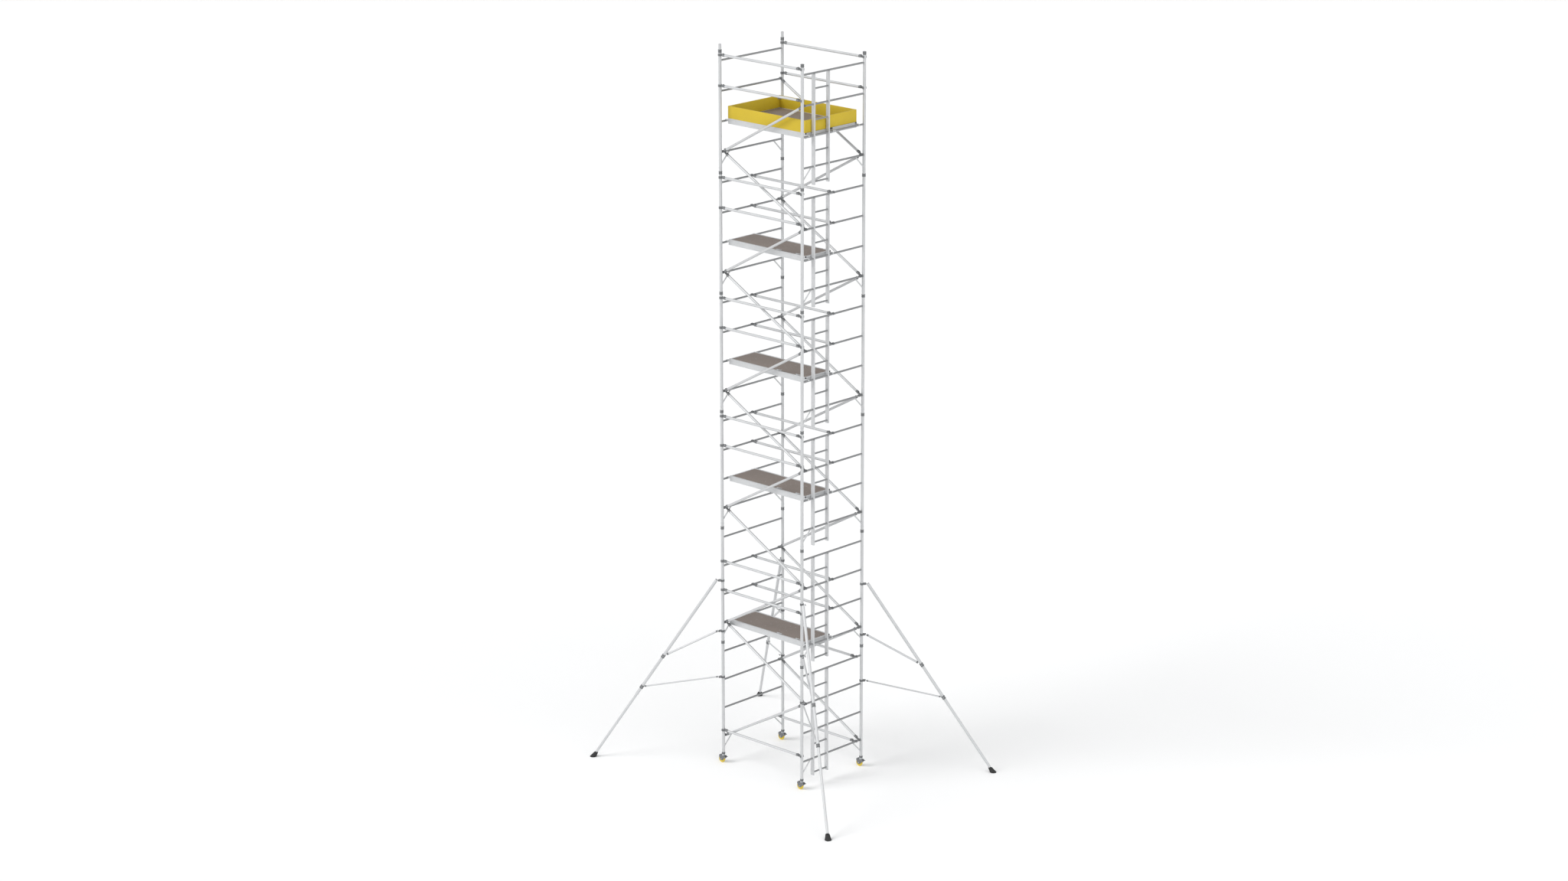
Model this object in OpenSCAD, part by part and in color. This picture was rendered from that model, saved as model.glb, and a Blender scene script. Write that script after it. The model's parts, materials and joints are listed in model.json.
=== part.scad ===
// Mobile tower scaffold, double width, six 2 m lifts, platform at about 11 m.
// The origin is on the floor at the middle of the tower. +X runs along the bay,
// towards the frames that hold the ladder, +Y runs across it, and +Z is up.

/* [Tower] */
// Column spacing along the bay
bay_length = 1800; // [1700:10:1900]
// Column spacing across an end frame
bay_width = 1450; // [1400:10:1500]
// Height of one frame
lift_height = 2000; // [2000:1:2000]
// Height of the first joint line if the lowest frames were full length
joint_start = 144; // [130:1:150]
// Lower end of the lowest frames
base_height = 190; // [185:1:200]

/* [Frame tubes] */
// Outer diameter of a column
column_d = 50.8; // [50:0.1:51]
// Wall of a column
column_wall = 2; // [1.6:0.1:2.5]
// Outer diameter of a rung
rung_d = 32; // [30:1:34]
// Wall of rungs, braces and ladder stiles
thin_wall = 2; // [1.5:0.1:2.2]
// Height of the lowest rung
first_rung = 477.5; // [470:0.5:485]
// Spacing of the rungs
rung_pitch = 500; // [500:1:500]
// Diameter of a corner strut
strut_d = 22; // [18:1:24]
// Distance from the middle of the frame to the top of a corner strut
strut_top = 512; // [500:1:515]

/* [Ladder] */
// Depth of a ladder stile along the bay
stile_depth = 64; // [62:1:66]
// Width of a ladder stile across the frame
stile_width = 28; // [24:1:30]
// Diameter of a rung that belongs to the ladder alone
ladder_rung_d = 28; // [24:1:30]

/* [Braces] */
// Outer diameter of a brace tube
brace_d = 42; // [38:1:42]
// Distance from the middle to the outer row of diagonals
outer_row = 682; // [681:1:683]
// Distance from the middle to the inner row of diagonals
inner_row = 640; // [638:1:641]
// Height of a column hook above the rung next to it
rail_rise = 90; // [80:1:100]

/* [Platforms] */
// Width of one platform
platform_w = 600; // [590:1:600]
// Height of a platform's side beam
beam_h = 90; // [88:1:92]
// Width of a platform's side beam
beam_w = 30; // [28:1:30]
// Thickness of the deck board
deck_t = 12; // [10:1:15]
// Height of the deck's top above the middle of the rung
deck_rise = 45; // [43:1:45]
// Height of a toe board
toe_h = 200; // [150:10:220]

/* [Castors] */
// Wheel diameter
wheel_d = 125; // [120:1:127]
// Wheel width
wheel_w = 36; // [30:1:36]
// Distance from the swivel axis back to the axle
trail = 32; // [25:1:35]

/* [Stabilisers] */
// Direction of a stabiliser, from the bay's length
stabiliser_angle = 36; // [30:1:45]
// Outer diameter of the telescopic leg
stabiliser_d = 50; // [48:1:52]
// Height of the top clamp
top_clamp_z = 3226; // [3200:1:3300]
// Height of the middle clamp
mid_clamp_z = 2340; // [2338:1:2380]
// Height of the bottom clamp
low_clamp_z = 1528; // [1525:1:1600]

/* [Hidden] */
$fn = 48;
weld_gap = 0.1;
fit_gap = 0.4;
lifts = 6;
rungs_per_lift = 4;
column_r = column_d / 2;
rung_r = rung_d / 2;
half_l = bay_length / 2;
half_w = bay_width / 2;
spigot_r = column_r - column_wall - 0.5;
spigot_out = 99;
spigot_in = 100;
collar_h = 50;
collar_r = 30;
clip_rise = 80;
clip_hole_d = 9;

stile_x = half_l + 20 - stile_depth;
stile_ys = [-453, -116];
stile_drop = 300;

front_rails = [24, 23, 20, 19, 16, 15, 12, 11, 7, 6];
inner_rails = [20, 19, 16, 15, 12, 11, 7, 6];
rear_rails = [24, 23];
rear_rung_rails = [4, 1];
rear_rung_row = 596;
base_rail_z = 585;
diagonals = 11;

claw_h = 40;
claw_w = 34;
neck_w = 28;
socket_d = 46;
socket_start = 60;
socket_len = 55;
tube_start = 70;

single_levels = [5, 10, 14, 18];
top_level = 22;
platform_x0 = -846;
platform_x1 = 846;
beam_drop = 42;
end_beam_w = 28;
platform_y0 = -602;
second_y0 = 2;
hook_w = 28;
hook_inset = 15;
hatch_x0 = 140;
hatch_x1 = 745;
hatch_y0 = 82;
hatch_y1 = 556;
hatch_gap = 2;
hinge_rise = 6.4;
hinge_d = 12;
hinge_leaf_w = 14;
hinge_pin_d = 5;
knuckle_len = 50;
toe_t = 22;
toe_y = 602;
toe_base = rung_z(top_level) + beam_h - beam_drop + weld_gap;

leg_d = 38;
leg_bore_d = 26.1;
stem_d = 26;
leg_bottom = 149;
leg_top = 640;
nut_h = 34;
axle_z = wheel_d / 2;
axle_d = 12;
cheek_t = 5;
cheek_gap = 2.5;
brake_x = 44;
brake_z = 110;
brake_w = 34;
brake_pin_d = 6;

leg_slope = atan2(3370, 2215);
leg_top_r = 95;
leg_top_z = 3240;
outer_len = 2500;
inner_start = 1700;
inner_d = 44.2;
foot_h = 80;
coupler_zs = [1850, 1290];
strut_ds = [34, 25];
clamp_h = 34;

corners = [[-1, -1], [1, -1], [1, 1], [-1, 1]];

ALU = [0.86, 0.87, 0.88];
CASTING = [0.42, 0.43, 0.44];
BROWN = [0.45, 0.38, 0.33];
YELLOW = [0.9, 0.75, 0.15];
BLACK = [0.06, 0.06, 0.06];

function rung_z(n) = first_rung + (n - 1) * rung_pitch;
function joint_z(k) = joint_start + k * lift_height;
function frame_bottom(k) = k == 1 ? base_height : joint_z(k - 1);
function level_z(i) = i < 5 ? rung_z(single_levels[i - 1]) : rung_z(top_level);
function hook_ys(y0) = [y0 + hook_inset, y0 + platform_w - hook_inset];
function corner_turn(i) = atan2(
    corners[i - 1][1] * sin(stabiliser_angle),
    corners[i - 1][0] * cos(stabiliser_angle));

// ---- tubes ----

module tube(d, wall, h) {
    difference() {
        cylinder(d = d, h = h);
        translate([0, 0, -1])
            cylinder(d = d - 2 * wall, h = h + 2);
    }
}

module box_tube(size, wall, along) {
    inner = [for (i = [0:2]) i == along ? size[i] + 2 : size[i] - 2 * wall];
    difference() {
        cube(size);
        translate([for (i = [0:2]) i == along ? -1 : wall])
            cube(inner);
    }
}

module at_corner(i) {
    translate([corners[i - 1][0] * half_l, corners[i - 1][1] * half_w, 0])
        children();
}

// ---- end frames ----

module frame_column(k, y) {
    bottom = frame_bottom(k);
    difference() {
        translate([0, y, bottom + weld_gap])
            tube(column_d, column_wall, joint_z(k) - bottom - weld_gap);
        if (k > 1)
            clip_hole(k - 1, y);
    }
}

// The hole that a clip's pin goes into, on the outer side of a column.
module clip_hole(k, y) {
    translate([0, y, joint_z(k) + clip_rise])
        rotate([0, 90, 0])
            cylinder(d = clip_hole_d, h = 2 * column_r);
}

module spigot(k, y) {
    difference() {
        translate([0, y, joint_z(k) - spigot_in])
            union() {
                tube(2 * (column_r - column_wall - weld_gap), 3, spigot_in);
                tube(2 * spigot_r, 3, spigot_in + spigot_out);
            }
        if (k < lifts)
            clip_hole(k, y);
    }
}

module coped_rung(n, d) {
    difference() {
        translate([0, -half_w, rung_z(n)])
            rotate([-90, 0, 0])
                tube(d, thin_wall, bay_width);
        for (y = [-half_w, half_w])
            translate([0, y, rung_z(n) - d])
                cylinder(r = column_r + weld_gap, h = 2 * d);
    }
}

module corner_strut(n, side) {
    drop = half_w - strut_top;
    difference() {
        translate([0, side * half_w, rung_z(n) - drop])
            rotate([side * 45, 0, 0])
                tube(strut_d, thin_wall, drop * sqrt(2));
        translate([0, side * half_w, rung_z(n) - bay_width / 2])
            cylinder(r = column_r + weld_gap, h = bay_width);
        translate([0, -half_w, rung_z(n)])
            rotate([-90, 0, 0])
                cylinder(r = rung_r + weld_gap, h = bay_width);
    }
}

module end_frame(k, top_spigots) {
    first = rungs_per_lift * (k - 1) + 1;
    for (y = [-half_w, half_w]) {
        frame_column(k, y);
        if (top_spigots)
            spigot(k, y);
    }
    for (n = [first : first + rungs_per_lift - 1])
        coped_rung(n, rung_d);
    for (side = [-1, 1])
        corner_strut(first, side);
}

module ladder_stile(k, y) {
    first = rungs_per_lift * (k - 1) + 1;
    bottom = rung_z(first) - stile_drop;
    top = rung_z(first + rungs_per_lift - 1) - rung_r - weld_gap;
    difference() {
        translate([stile_x, y - stile_width / 2, bottom])
            box_tube([stile_depth, stile_width, top - bottom], thin_wall, 2);
        for (n = [first : first + rungs_per_lift - 2])
            translate([half_l, y - stile_width, rung_z(n)])
                rotate([-90, 0, 0])
                    cylinder(r = rung_r + weld_gap, h = 2 * stile_width);
    }
}

module ladder_section(k) {
    first = rungs_per_lift * (k - 1) + 1;
    inner = stile_ys[0] + stile_width / 2 + weld_gap;
    for (y = stile_ys)
        ladder_stile(k, y);
    for (i = [0 : rungs_per_lift - 1])
        translate([half_l, inner, rung_z(first) + (i - 0.5) * rung_pitch])
            rotate([-90, 0, 0])
                tube(ladder_rung_d, thin_wall, stile_ys[1] - stile_ys[0] - stile_width - 2 * weld_gap);
}

module ladder_frame(k) {
    color(ALU) {
        translate([half_l, 0, 0])
            end_frame(k, k < lifts);
        ladder_section(k);
    }
}

module span_frame(k) {
    color(ALU)
        mirror([1, 0, 0])
            translate([half_l, 0, 0])
                end_frame(k, true);
}

module joint_collars() {
    color(CASTING)
        for (i = [1:4], k = [1:lifts])
            at_corner(i)
                translate([0, 0, joint_z(k) - (k == lifts ? collar_h - 9 : collar_h / 2)])
                    collar(k == lifts && corners[i - 1][0] > 0);
}

// A plain sleeve at a joint, and a closed cap on a column that has no spigot.
module collar(capped) {
    difference() {
        cylinder(r = collar_r, h = collar_h);
        translate([0, 0, -1])
            cylinder(r = column_r, h = capped ? collar_h - 9 + 1 : collar_h + 2);
    }
}

module interlock_clips() {
    color(CASTING)
        for (i = [1:4], k = [1 : lifts - 1])
            at_corner(i)
                translate([0, 0, joint_z(k) + clip_rise])
                    rotate([0, 0, corners[i - 1][0] > 0 ? 0 : 180])
                        interlock_clip();
}

// A spring band round the column, with the pin that locks the spigot.
module interlock_clip() {
    band_h = 12;
    band_t = 2;
    translate([0, 0, -band_h / 2])
        rotate([0, 0, -120])
            rotate_extrude(angle = 240)
                translate([column_r, 0])
                    square([band_t, band_h]);
    translate([column_r - 6, 0, 0])
        rotate([0, 90, 0])
            cylinder(d = clip_hole_d - 1, h = 12);
}

// ---- braces ----

// Repeats its children at both ends of the bay, facing inwards.
module both_ends() {
    translate([-half_l, 0, 0])
        children();
    mirror([1, 0, 0])
        translate([-half_l, 0, 0])
            children();
}

module brace_tube(length) {
    translate([tube_start, 0, 0])
        rotate([0, 90, 0])
            tube(brace_d, thin_wall, length - 2 * tube_start);
}

module at_rails_on_columns() {
    for (n = front_rails)
        translate([0, -half_w, rung_z(n) + rail_rise])
            children();
    translate([0, -half_w, base_rail_z])
        children();
    for (n = rear_rails)
        translate([0, half_w, rung_z(n) + rail_rise])
            children();
}

module at_rails_on_rungs() {
    for (n = inner_rails)
        translate([0, 0, rung_z(n)])
            children();
    for (n = rear_rung_rails)
        translate([0, rear_rung_row, rung_z(n)])
            children();
}

diagonal_rise = atan2(2 * rung_pitch, bay_length);
diagonal_len = sqrt(pow(2 * rung_pitch, 2) + pow(bay_length, 2));

// One diagonal's lower end, with local +X towards its upper end in plan.
module at_diagonals() {
    for (i = [0 : diagonals - 1], side = [-1, 1]) {
        rises_right = side < 0 ? i % 2 == 0 : i % 2 == 1;
        row = i % 2 == 0 ? outer_row : inner_row;
        translate([0, side * row, rung_z(1 + 2 * i)])
            mirror([rises_right ? 0 : 1, 0, 0])
                translate([-half_l, 0, 0])
                    children();
    }
}

module guardrail_braces() {
    color(ALU) {
        at_rails_on_columns()
            translate([-half_l, 0, 0])
                brace_tube(bay_length);
        at_rails_on_rungs()
            translate([-half_l, 0, 0])
                brace_tube(bay_length);
    }
}

module diagonal_braces() {
    color(ALU)
        at_diagonals()
            rotate([0, -diagonal_rise, 0])
                brace_tube(diagonal_len);
}

// The socket that holds a brace tube, along local +X.
module socket() {
    difference() {
        translate([socket_start, 0, 0])
            rotate([0, 90, 0])
                cylinder(d = socket_d, h = socket_len);
        translate([tube_start - weld_gap, 0, 0])
            rotate([0, 90, 0])
                cylinder(d = brace_d + 2 * weld_gap, h = socket_len);
    }
}

// A ring with a mouth on its -X side.
module claw_outline(inner_r, outer_r) {
    difference() {
        circle(r = outer_r);
        circle(r = inner_r);
        polygon([[0, 0], [-outer_r, -2.4 * outer_r], [-3 * outer_r, 0], [-outer_r, 2.4 * outer_r]]);
    }
}

module column_hook() {
    outer_r = column_r + 10;
    translate([0, 0, -claw_h / 2])
        linear_extrude(claw_h)
            claw_outline(column_r + 0.3, outer_r);
    translate([outer_r - 4, -neck_w / 2, -claw_h / 2])
        cube([socket_start + 2 - outer_r + 4, neck_w, claw_h]);
    socket();
}

// tilt is the brace's slope; the claw's mouth stays downwards.
module rung_hook(tilt) {
    outer_r = rung_r + 11;
    translate([0, claw_w / 2, 0])
        rotate([90, 0, 0])
            linear_extrude(claw_w)
                rotate([0, 0, 90])
                    claw_outline(rung_r + 0.3, outer_r);
    rotate([0, -tilt, 0]) {
        translate([outer_r - 5, -neck_w / 2, -12])
            cube([socket_start + 2 - outer_r + 5, neck_w, 24]);
        socket();
    }
}

module at_diagonal_ends() {
    at_diagonals() {
        children(0);
        translate([bay_length, 0, 2 * rung_pitch])
            mirror([1, 0, 0])
                children(1);
    }
}

module brace_hooks() {
    color(CASTING) {
        at_rails_on_columns()
            both_ends()
                column_hook();
        at_rails_on_rungs()
            both_ends()
                rung_hook(0);
        at_diagonal_ends() {
            rung_hook(diagonal_rise);
            rung_hook(-diagonal_rise);
        }
    }
}

// The thumb lever that lies in front of a hook's mouth.
module trigger() {
    translate([socket_start + 4, -5, socket_d / 2 + weld_gap])
        cube([34, 10, 8]);
}

module brace_triggers() {
    color(CASTING) {
        at_rails_on_columns()
            both_ends()
                trigger();
        at_rails_on_rungs()
            both_ends()
                trigger();
        at_diagonal_ends() {
            rotate([0, -diagonal_rise, 0])
                trigger();
            rotate([0, diagonal_rise, 0])
                trigger();
        }
    }
}

// ---- platforms ----

module platform_hook(x0, x1, y) {
    arch_r = rung_r + 8;
    translate([0, y + hook_w / 2, 0])
        rotate([90, 0, 0])
            linear_extrude(hook_w)
                difference() {
                    union() {
                        circle(r = arch_r);
                        translate([x0, 4])
                            square([x1 - x0, arch_r - 4]);
                    }
                    circle(r = rung_r + 0.4);
                    translate([-3 * arch_r, -2 * arch_r])
                        square([6 * arch_r, 2 * arch_r - 4]);
                }
}

module platform_frame(y0, z) {
    length = platform_x1 - platform_x0;
    cross_len = platform_w - 2 * beam_w - 2 * weld_gap;
    bearer_h = beam_drop / 2 + deck_rise - deck_t - weld_gap;
    for (y = [y0, y0 + platform_w - beam_w])
        translate([platform_x0, y, z - beam_drop])
            box_tube([length, beam_w, beam_h], thin_wall, 0);
    for (x = [platform_x0, platform_x1 - end_beam_w])
        translate([x, y0 + beam_w + weld_gap, z - beam_drop])
            box_tube([end_beam_w, cross_len, beam_drop + deck_rise], thin_wall, 1);
    for (x = [-540, -210, hatch_x0 - 28, hatch_x1 + 2])
        translate([x, y0 + beam_w + weld_gap, z - beam_drop / 2])
            box_tube([26, cross_len, bearer_h], thin_wall, 1);
    for (y = hook_ys(y0)) {
        translate([half_l, 0, z])
            platform_hook(platform_x1 - half_l + weld_gap, 0, y);
        mirror([1, 0, 0])
            translate([half_l, 0, z])
                platform_hook(-platform_x0 - half_l + weld_gap, 0, y);
    }
}

module platform_frames() {
    color(ALU)
        for (n = single_levels)
            platform_frame(platform_y0, rung_z(n));
}

module top_platform_frames() {
    color(ALU)
        for (y0 = [platform_y0, second_y0])
            platform_frame(y0, rung_z(top_level));
}

module deck_board(y0, z, with_hatch) {
    difference() {
        translate([platform_x0 + end_beam_w + weld_gap, y0 + beam_w + weld_gap, z + deck_rise - deck_t])
            cube([
                platform_x1 - platform_x0 - 2 * end_beam_w - 2 * weld_gap,
                platform_w - 2 * beam_w - 2 * weld_gap,
                deck_t]);
        if (with_hatch)
            translate([hatch_x0, -hatch_y1, z])
                cube([hatch_x1 - hatch_x0, hatch_y1 - hatch_y0, 2 * deck_rise]);
    }
}

module deck_boards() {
    color(BROWN) {
        for (i = [1:5])
            deck_board(platform_y0, level_z(i), true);
        deck_board(second_y0, rung_z(top_level), false);
    }
}

module at_knuckles(offset) {
    for (x = [hatch_x0 + 90, hatch_x1 - 90])
        translate([x + offset, -hatch_y1 + hatch_gap, deck_rise + hinge_rise])
            rotate([0, 90, 0])
                children();
}

module hatch_hinges() {
    color(CASTING)
        for (i = [1:5])
            translate([0, 0, level_z(i)]) {
                at_knuckles(-knuckle_len) {
                    cylinder(d = hinge_d, h = knuckle_len - 0.5);
                    cylinder(d = hinge_pin_d, h = 2 * knuckle_len);
                }
                for (x = [hatch_x0 + 90, hatch_x1 - 90])
                    translate([x - knuckle_len, -hatch_y1 - hinge_leaf_w, deck_rise])
                        cube([knuckle_len - 0.5, hinge_leaf_w + hatch_gap, 2]);
            }
}

module trapdoor(i) {
    color(BROWN)
        translate([0, 0, level_z(i)]) {
            difference() {
                union() {
                    translate([hatch_x0 + hatch_gap, -hatch_y1 + hatch_gap, deck_rise - deck_t])
                        cube([
                            hatch_x1 - hatch_x0 - 2 * hatch_gap,
                            hatch_y1 - hatch_y0 - 2 * hatch_gap,
                            deck_t]);
                    for (x = [hatch_x0 + 60, hatch_x1 - 100])
                        translate([x, -hatch_y1 + 40, deck_rise - deck_t - 20])
                            cube([40, hatch_y1 - hatch_y0 - 80, 20]);
                }
                at_knuckles(-knuckle_len - 1)
                    cylinder(d = hinge_d + 1, h = knuckle_len + 1);
                translate([(hatch_x0 + hatch_x1) / 2 - 55, -hatch_y0 - 75, 0])
                    cube([110, 32, 2 * deck_rise]);
            }
            at_knuckles(0)
                trapdoor_knuckle();
        }
}

// A knuckle with its running bore, and the leaf that joins it to the panel.
module trapdoor_knuckle() {
    difference() {
        union() {
            cylinder(d = hinge_d, h = knuckle_len);
            translate([hinge_rise - 3, 0, 0])
                cube([3.2, 24, knuckle_len]);
        }
        translate([0, 0, -1])
            cylinder(d = hinge_pin_d + 0.1, h = knuckle_len + 2);
    }
}

// The toe boards stand on the side beams and run round both top platforms.
module toe_boards() {
    cross_w = 2 * (toe_y - toe_t - weld_gap);
    color(YELLOW)
        translate([0, 0, toe_base]) {
            for (y = [-toe_y, toe_y - toe_t])
                translate([platform_x0, y, 0])
                    cube([platform_x1 - platform_x0, toe_t, toe_h]);
            for (x = [platform_x0, platform_x1 - toe_t])
                translate([x, -cross_w / 2, 0])
                    cube([toe_t, cross_w, toe_h]);
        }
}

// A folded bracket in each corner of the toe boards.
module toe_board_clips() {
    base = toe_base + toe_h - 60;
    arm = 50;
    color(CASTING)
        for (sx = [0, 1], sy = [-1, 1])
            translate([sx == 0 ? platform_x0 + toe_t : platform_x1 - toe_t, sy * (toe_y - toe_t), base])
                rotate([0, 0, sx == 0 ? (sy < 0 ? 0 : -90) : (sy < 0 ? 90 : 180)])
                    translate([weld_gap, weld_gap, 0])
                        difference() {
                            cube([arm, arm, 40]);
                            translate([3, 3, -1])
                                cube([arm, arm, 42]);
                        }
}

// A catch on the end of a side beam above its hook, with a thumb pad.
module windlock(y) {
    catch_w = 24;
    catch_z = 25;
    translate([platform_x1 + weld_gap, y - catch_w / 2, catch_z]) {
        cube([5, catch_w, 20]);
        translate([4, catch_w / 4, 6])
            cube([4, catch_w / 2, 8]);
    }
}

module windlocks() {
    color(BLACK) {
        for (n = single_levels, y = hook_ys(platform_y0))
            translate([0, 0, rung_z(n)])
                windlock(y);
        for (y0 = [platform_y0, second_y0], y = hook_ys(y0))
            translate([0, 0, rung_z(top_level)])
                windlock(y);
    }
}

// ---- adjustable legs and castors ----

module leg_nuts() {
    color(CASTING)
        for (i = [1:4])
            at_corner(i)
                translate([0, 0, base_height - nut_h])
                    tube(60, 30 - leg_d / 2 - fit_gap, nut_h);
}

module leg(i) {
    flange_h = 6;
    color(ALU)
        at_corner(i)
            translate([0, 0, leg_bottom])
                difference() {
                    union() {
                        cylinder(d = leg_d, h = leg_top - leg_bottom);
                        cylinder(d = leg_d + 14, h = flange_h);
                    }
                    translate([0, 0, -1])
                        cylinder(d = leg_bore_d, h = leg_top);
                }
}

module cheek_outline() {
    polygon([
        [46, 131], [-trail - 44, 131], [-trail - 52, 108], [-trail - 30, 52],
        [-trail, 38], [-trail + 26, 44], [38, 84], [56, 100], [56, 118]]);
}

module castor_fork(i) {
    cheek_y = wheel_w / 2 + cheek_gap;
    color(CASTING)
        at_corner(i) {
            swivel_stem();
            for (y = [-cheek_y - cheek_t, cheek_y])
                translate([0, y + cheek_t, 0])
                    rotate([90, 0, 0])
                        linear_extrude(cheek_t)
                            cheek_outline();
            translate([-trail - 44, -cheek_y - cheek_t, 127])
                cube([90 + trail, 2 * (cheek_y + cheek_t), 4]);
            across(-trail, axle_z, axle_d, 2 * (cheek_y + cheek_t));
            across(brake_x, brake_z, brake_pin_d, 2 * (cheek_y + cheek_t));
        }
}

module swivel_stem() {
    translate([0, 0, 131])
        cylinder(d = 56, h = leg_bottom - 1 - 131);
    translate([0, 0, 131])
        cylinder(d = stem_d, h = 115);
}

// A round bar across the fork, centred on it.
module across(x, z, d, length) {
    translate([x, -length / 2, z])
        rotate([-90, 0, 0])
            cylinder(d = d, h = length);
}

module castor_wheel(i) {
    color(YELLOW)
        at_corner(i)
            translate([-trail, 0, axle_z])
                rotate([90, 0, 0])
                    rotate_extrude()
                        polygon([
                            [axle_d / 2 + 0.1, -wheel_w / 2], [18, -wheel_w / 2], [20, -wheel_w / 2 + 5],
                            [40, -wheel_w / 2 + 5], [46, -wheel_w / 2 + 1], [wheel_d / 2 - 5, -wheel_w / 2 + 1],
                            [wheel_d / 2, -wheel_w / 2 + 8], [wheel_d / 2, wheel_w / 2 - 8],
                            [wheel_d / 2 - 5, wheel_w / 2 - 1], [46, wheel_w / 2 - 1],
                            [40, wheel_w / 2 - 5], [20, wheel_w / 2 - 5], [18, wheel_w / 2],
                            [axle_d / 2 + 0.1, wheel_w / 2]]);
}

// A sheet of the brake pedal, as wide as the pedal, from its outline in the XZ plane.
module brake_sheet(points) {
    translate([brake_x, brake_w / 2, brake_z])
        rotate([90, 0, 0])
            linear_extrude(brake_w)
                polygon(points);
}

module castor_brake(i) {
    color(CASTING)
        at_corner(i)
            difference() {
                union() {
                    across(brake_x, brake_z, 15, brake_w);
                    brake_sheet([[-1, 7], [40, 13], [42, 7], [2, 0]]);
                    brake_sheet([[-6, 1], [-9.5, -25], [-3, -27], [5, -1]]);
                }
                across(brake_x, brake_z, brake_pin_d + 0.2, 2 * brake_w);
            }
}

// ---- stabilisers ----

// Puts the stabiliser's own plane, local X outwards, at a column.
module at_stabiliser(i) {
    at_corner(i)
        rotate([0, 0, corner_turn(i)])
            children();
}

module at_leg_top() {
    translate([leg_top_r, 0, leg_top_z])
        rotate([0, 180 - (90 - leg_slope), 0])
            children();
}

function leg_r_at(z) = leg_top_r + (leg_top_z - z) / tan(leg_slope);

// A coupler round a column, with the lug that a tube is pinned to and its tightening handle.
module coupler(z, reach) {
    difference() {
        union() {
            translate([0, 0, z - clamp_h / 2])
                cylinder(r = column_r + 8, h = clamp_h);
            translate([column_r, -16, z - clamp_h / 2])
                cube([reach - column_r, 32, clamp_h]);
        }
        translate([0, 0, z - clamp_h])
            cylinder(r = column_r + fit_gap, h = 2 * clamp_h);
    }
    translate([column_r + 12, 16 + weld_gap, z])
        rotate([-90, 0, 0])
            cylinder(d = 10, h = 34);
    translate([column_r + 12 - 30, 50 + weld_gap, z])
        rotate([0, 90, 0])
            cylinder(d = 12, h = 60);
}

module stay(from_r, from_z, to_z, d) {
    to_r = leg_r_at(to_z);
    run = to_r - from_r;
    drop = from_z - to_z;
    difference() {
        translate([from_r, 0, from_z])
            rotate([0, 90 + atan2(drop, run), 0])
                tube(d, thin_wall, sqrt(run * run + drop * drop));
        at_leg_top()
            cylinder(d = stabiliser_d + 14 + 2 * weld_gap, h = outer_len);
    }
}

module stabiliser(i) {
    slope_len = [for (z = coupler_zs) (leg_top_z - z) / sin(leg_slope)];
    lug_ends = [leg_top_r - 18, 70, 70];
    clamp_zs = [top_clamp_z, mid_clamp_z, low_clamp_z];
    color(ALU)
        at_stabiliser(i) {
            difference() {
                at_leg_top()
                    tube(stabiliser_d, (stabiliser_d - inner_d) / 2 - fit_gap, outer_len);
                translate([0, -50, top_clamp_z - 60])
                    cube([lug_ends[0] + weld_gap, 100, 120]);
            }
            for (j = [0, 1])
                at_leg_top()
                    translate([0, 0, slope_len[j] - 30])
                        tube(stabiliser_d + 14, 7 - weld_gap, 60);
            for (j = [0:2])
                coupler(clamp_zs[j], lug_ends[j]);
            for (j = [0, 1])
                stay(70 + weld_gap + strut_ds[j] / 4, clamp_zs[j + 1], coupler_zs[j], strut_ds[j]);
        }
}

module stabiliser_leg(i) {
    color(ALU)
        at_stabiliser(i)
            difference() {
                at_leg_top()
                    translate([0, 0, inner_start])
                        tube(inner_d, 3, 2400);
                translate([0, -200, foot_h - 1000])
                    cube([3000, 400, 1000]);
            }
}

module stabiliser_foot(i) {
    color(BLACK)
        at_stabiliser(i)
            hull() {
                translate([leg_r_at(foot_h), 0, foot_h - 1])
                    cylinder(d = 72, h = 1, $fn = 32);
                translate([leg_r_at(0), 0, 0])
                    cylinder(d = 110, h = 14, $fn = 32);
            }
}

ladder_frame(1);  // ladder_frame_1
ladder_frame(2);  // ladder_frame_2
ladder_frame(3);  // ladder_frame_3
ladder_frame(4);  // ladder_frame_4
ladder_frame(5);  // ladder_frame_5
ladder_frame(6);  // ladder_frame_6
span_frame(1);  // span_frame_1
span_frame(2);  // span_frame_2
span_frame(3);  // span_frame_3
span_frame(4);  // span_frame_4
span_frame(5);  // span_frame_5
span_frame(6);  // span_frame_6
joint_collars();
interlock_clips();
guardrail_braces();
diagonal_braces();
brace_hooks();
brace_triggers();
platform_frames();
top_platform_frames();
deck_boards();
hatch_hinges();
toe_boards();
toe_board_clips();
windlocks();
leg_nuts();
trapdoor(1);  // trapdoor_1
trapdoor(2);  // trapdoor_2
trapdoor(3);  // trapdoor_3
trapdoor(4);  // trapdoor_4
trapdoor(5);  // trapdoor_5
leg(1);  // leg_1
leg(2);  // leg_2
leg(3);  // leg_3
leg(4);  // leg_4
castor_fork(1);  // castor_fork_1
castor_fork(2);  // castor_fork_2
castor_fork(3);  // castor_fork_3
castor_fork(4);  // castor_fork_4
castor_wheel(1);  // castor_wheel_1
castor_wheel(2);  // castor_wheel_2
castor_wheel(3);  // castor_wheel_3
castor_wheel(4);  // castor_wheel_4
castor_brake(1);  // castor_brake_1
castor_brake(2);  // castor_brake_2
castor_brake(3);  // castor_brake_3
castor_brake(4);  // castor_brake_4
stabiliser(1);  // stabiliser_1
stabiliser(2);  // stabiliser_2
stabiliser(3);  // stabiliser_3
stabiliser(4);  // stabiliser_4
stabiliser_leg(1);  // stabiliser_leg_1
stabiliser_leg(2);  // stabiliser_leg_2
stabiliser_leg(3);  // stabiliser_leg_3
stabiliser_leg(4);  // stabiliser_leg_4
stabiliser_foot(1);  // stabiliser_foot_1
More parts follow.
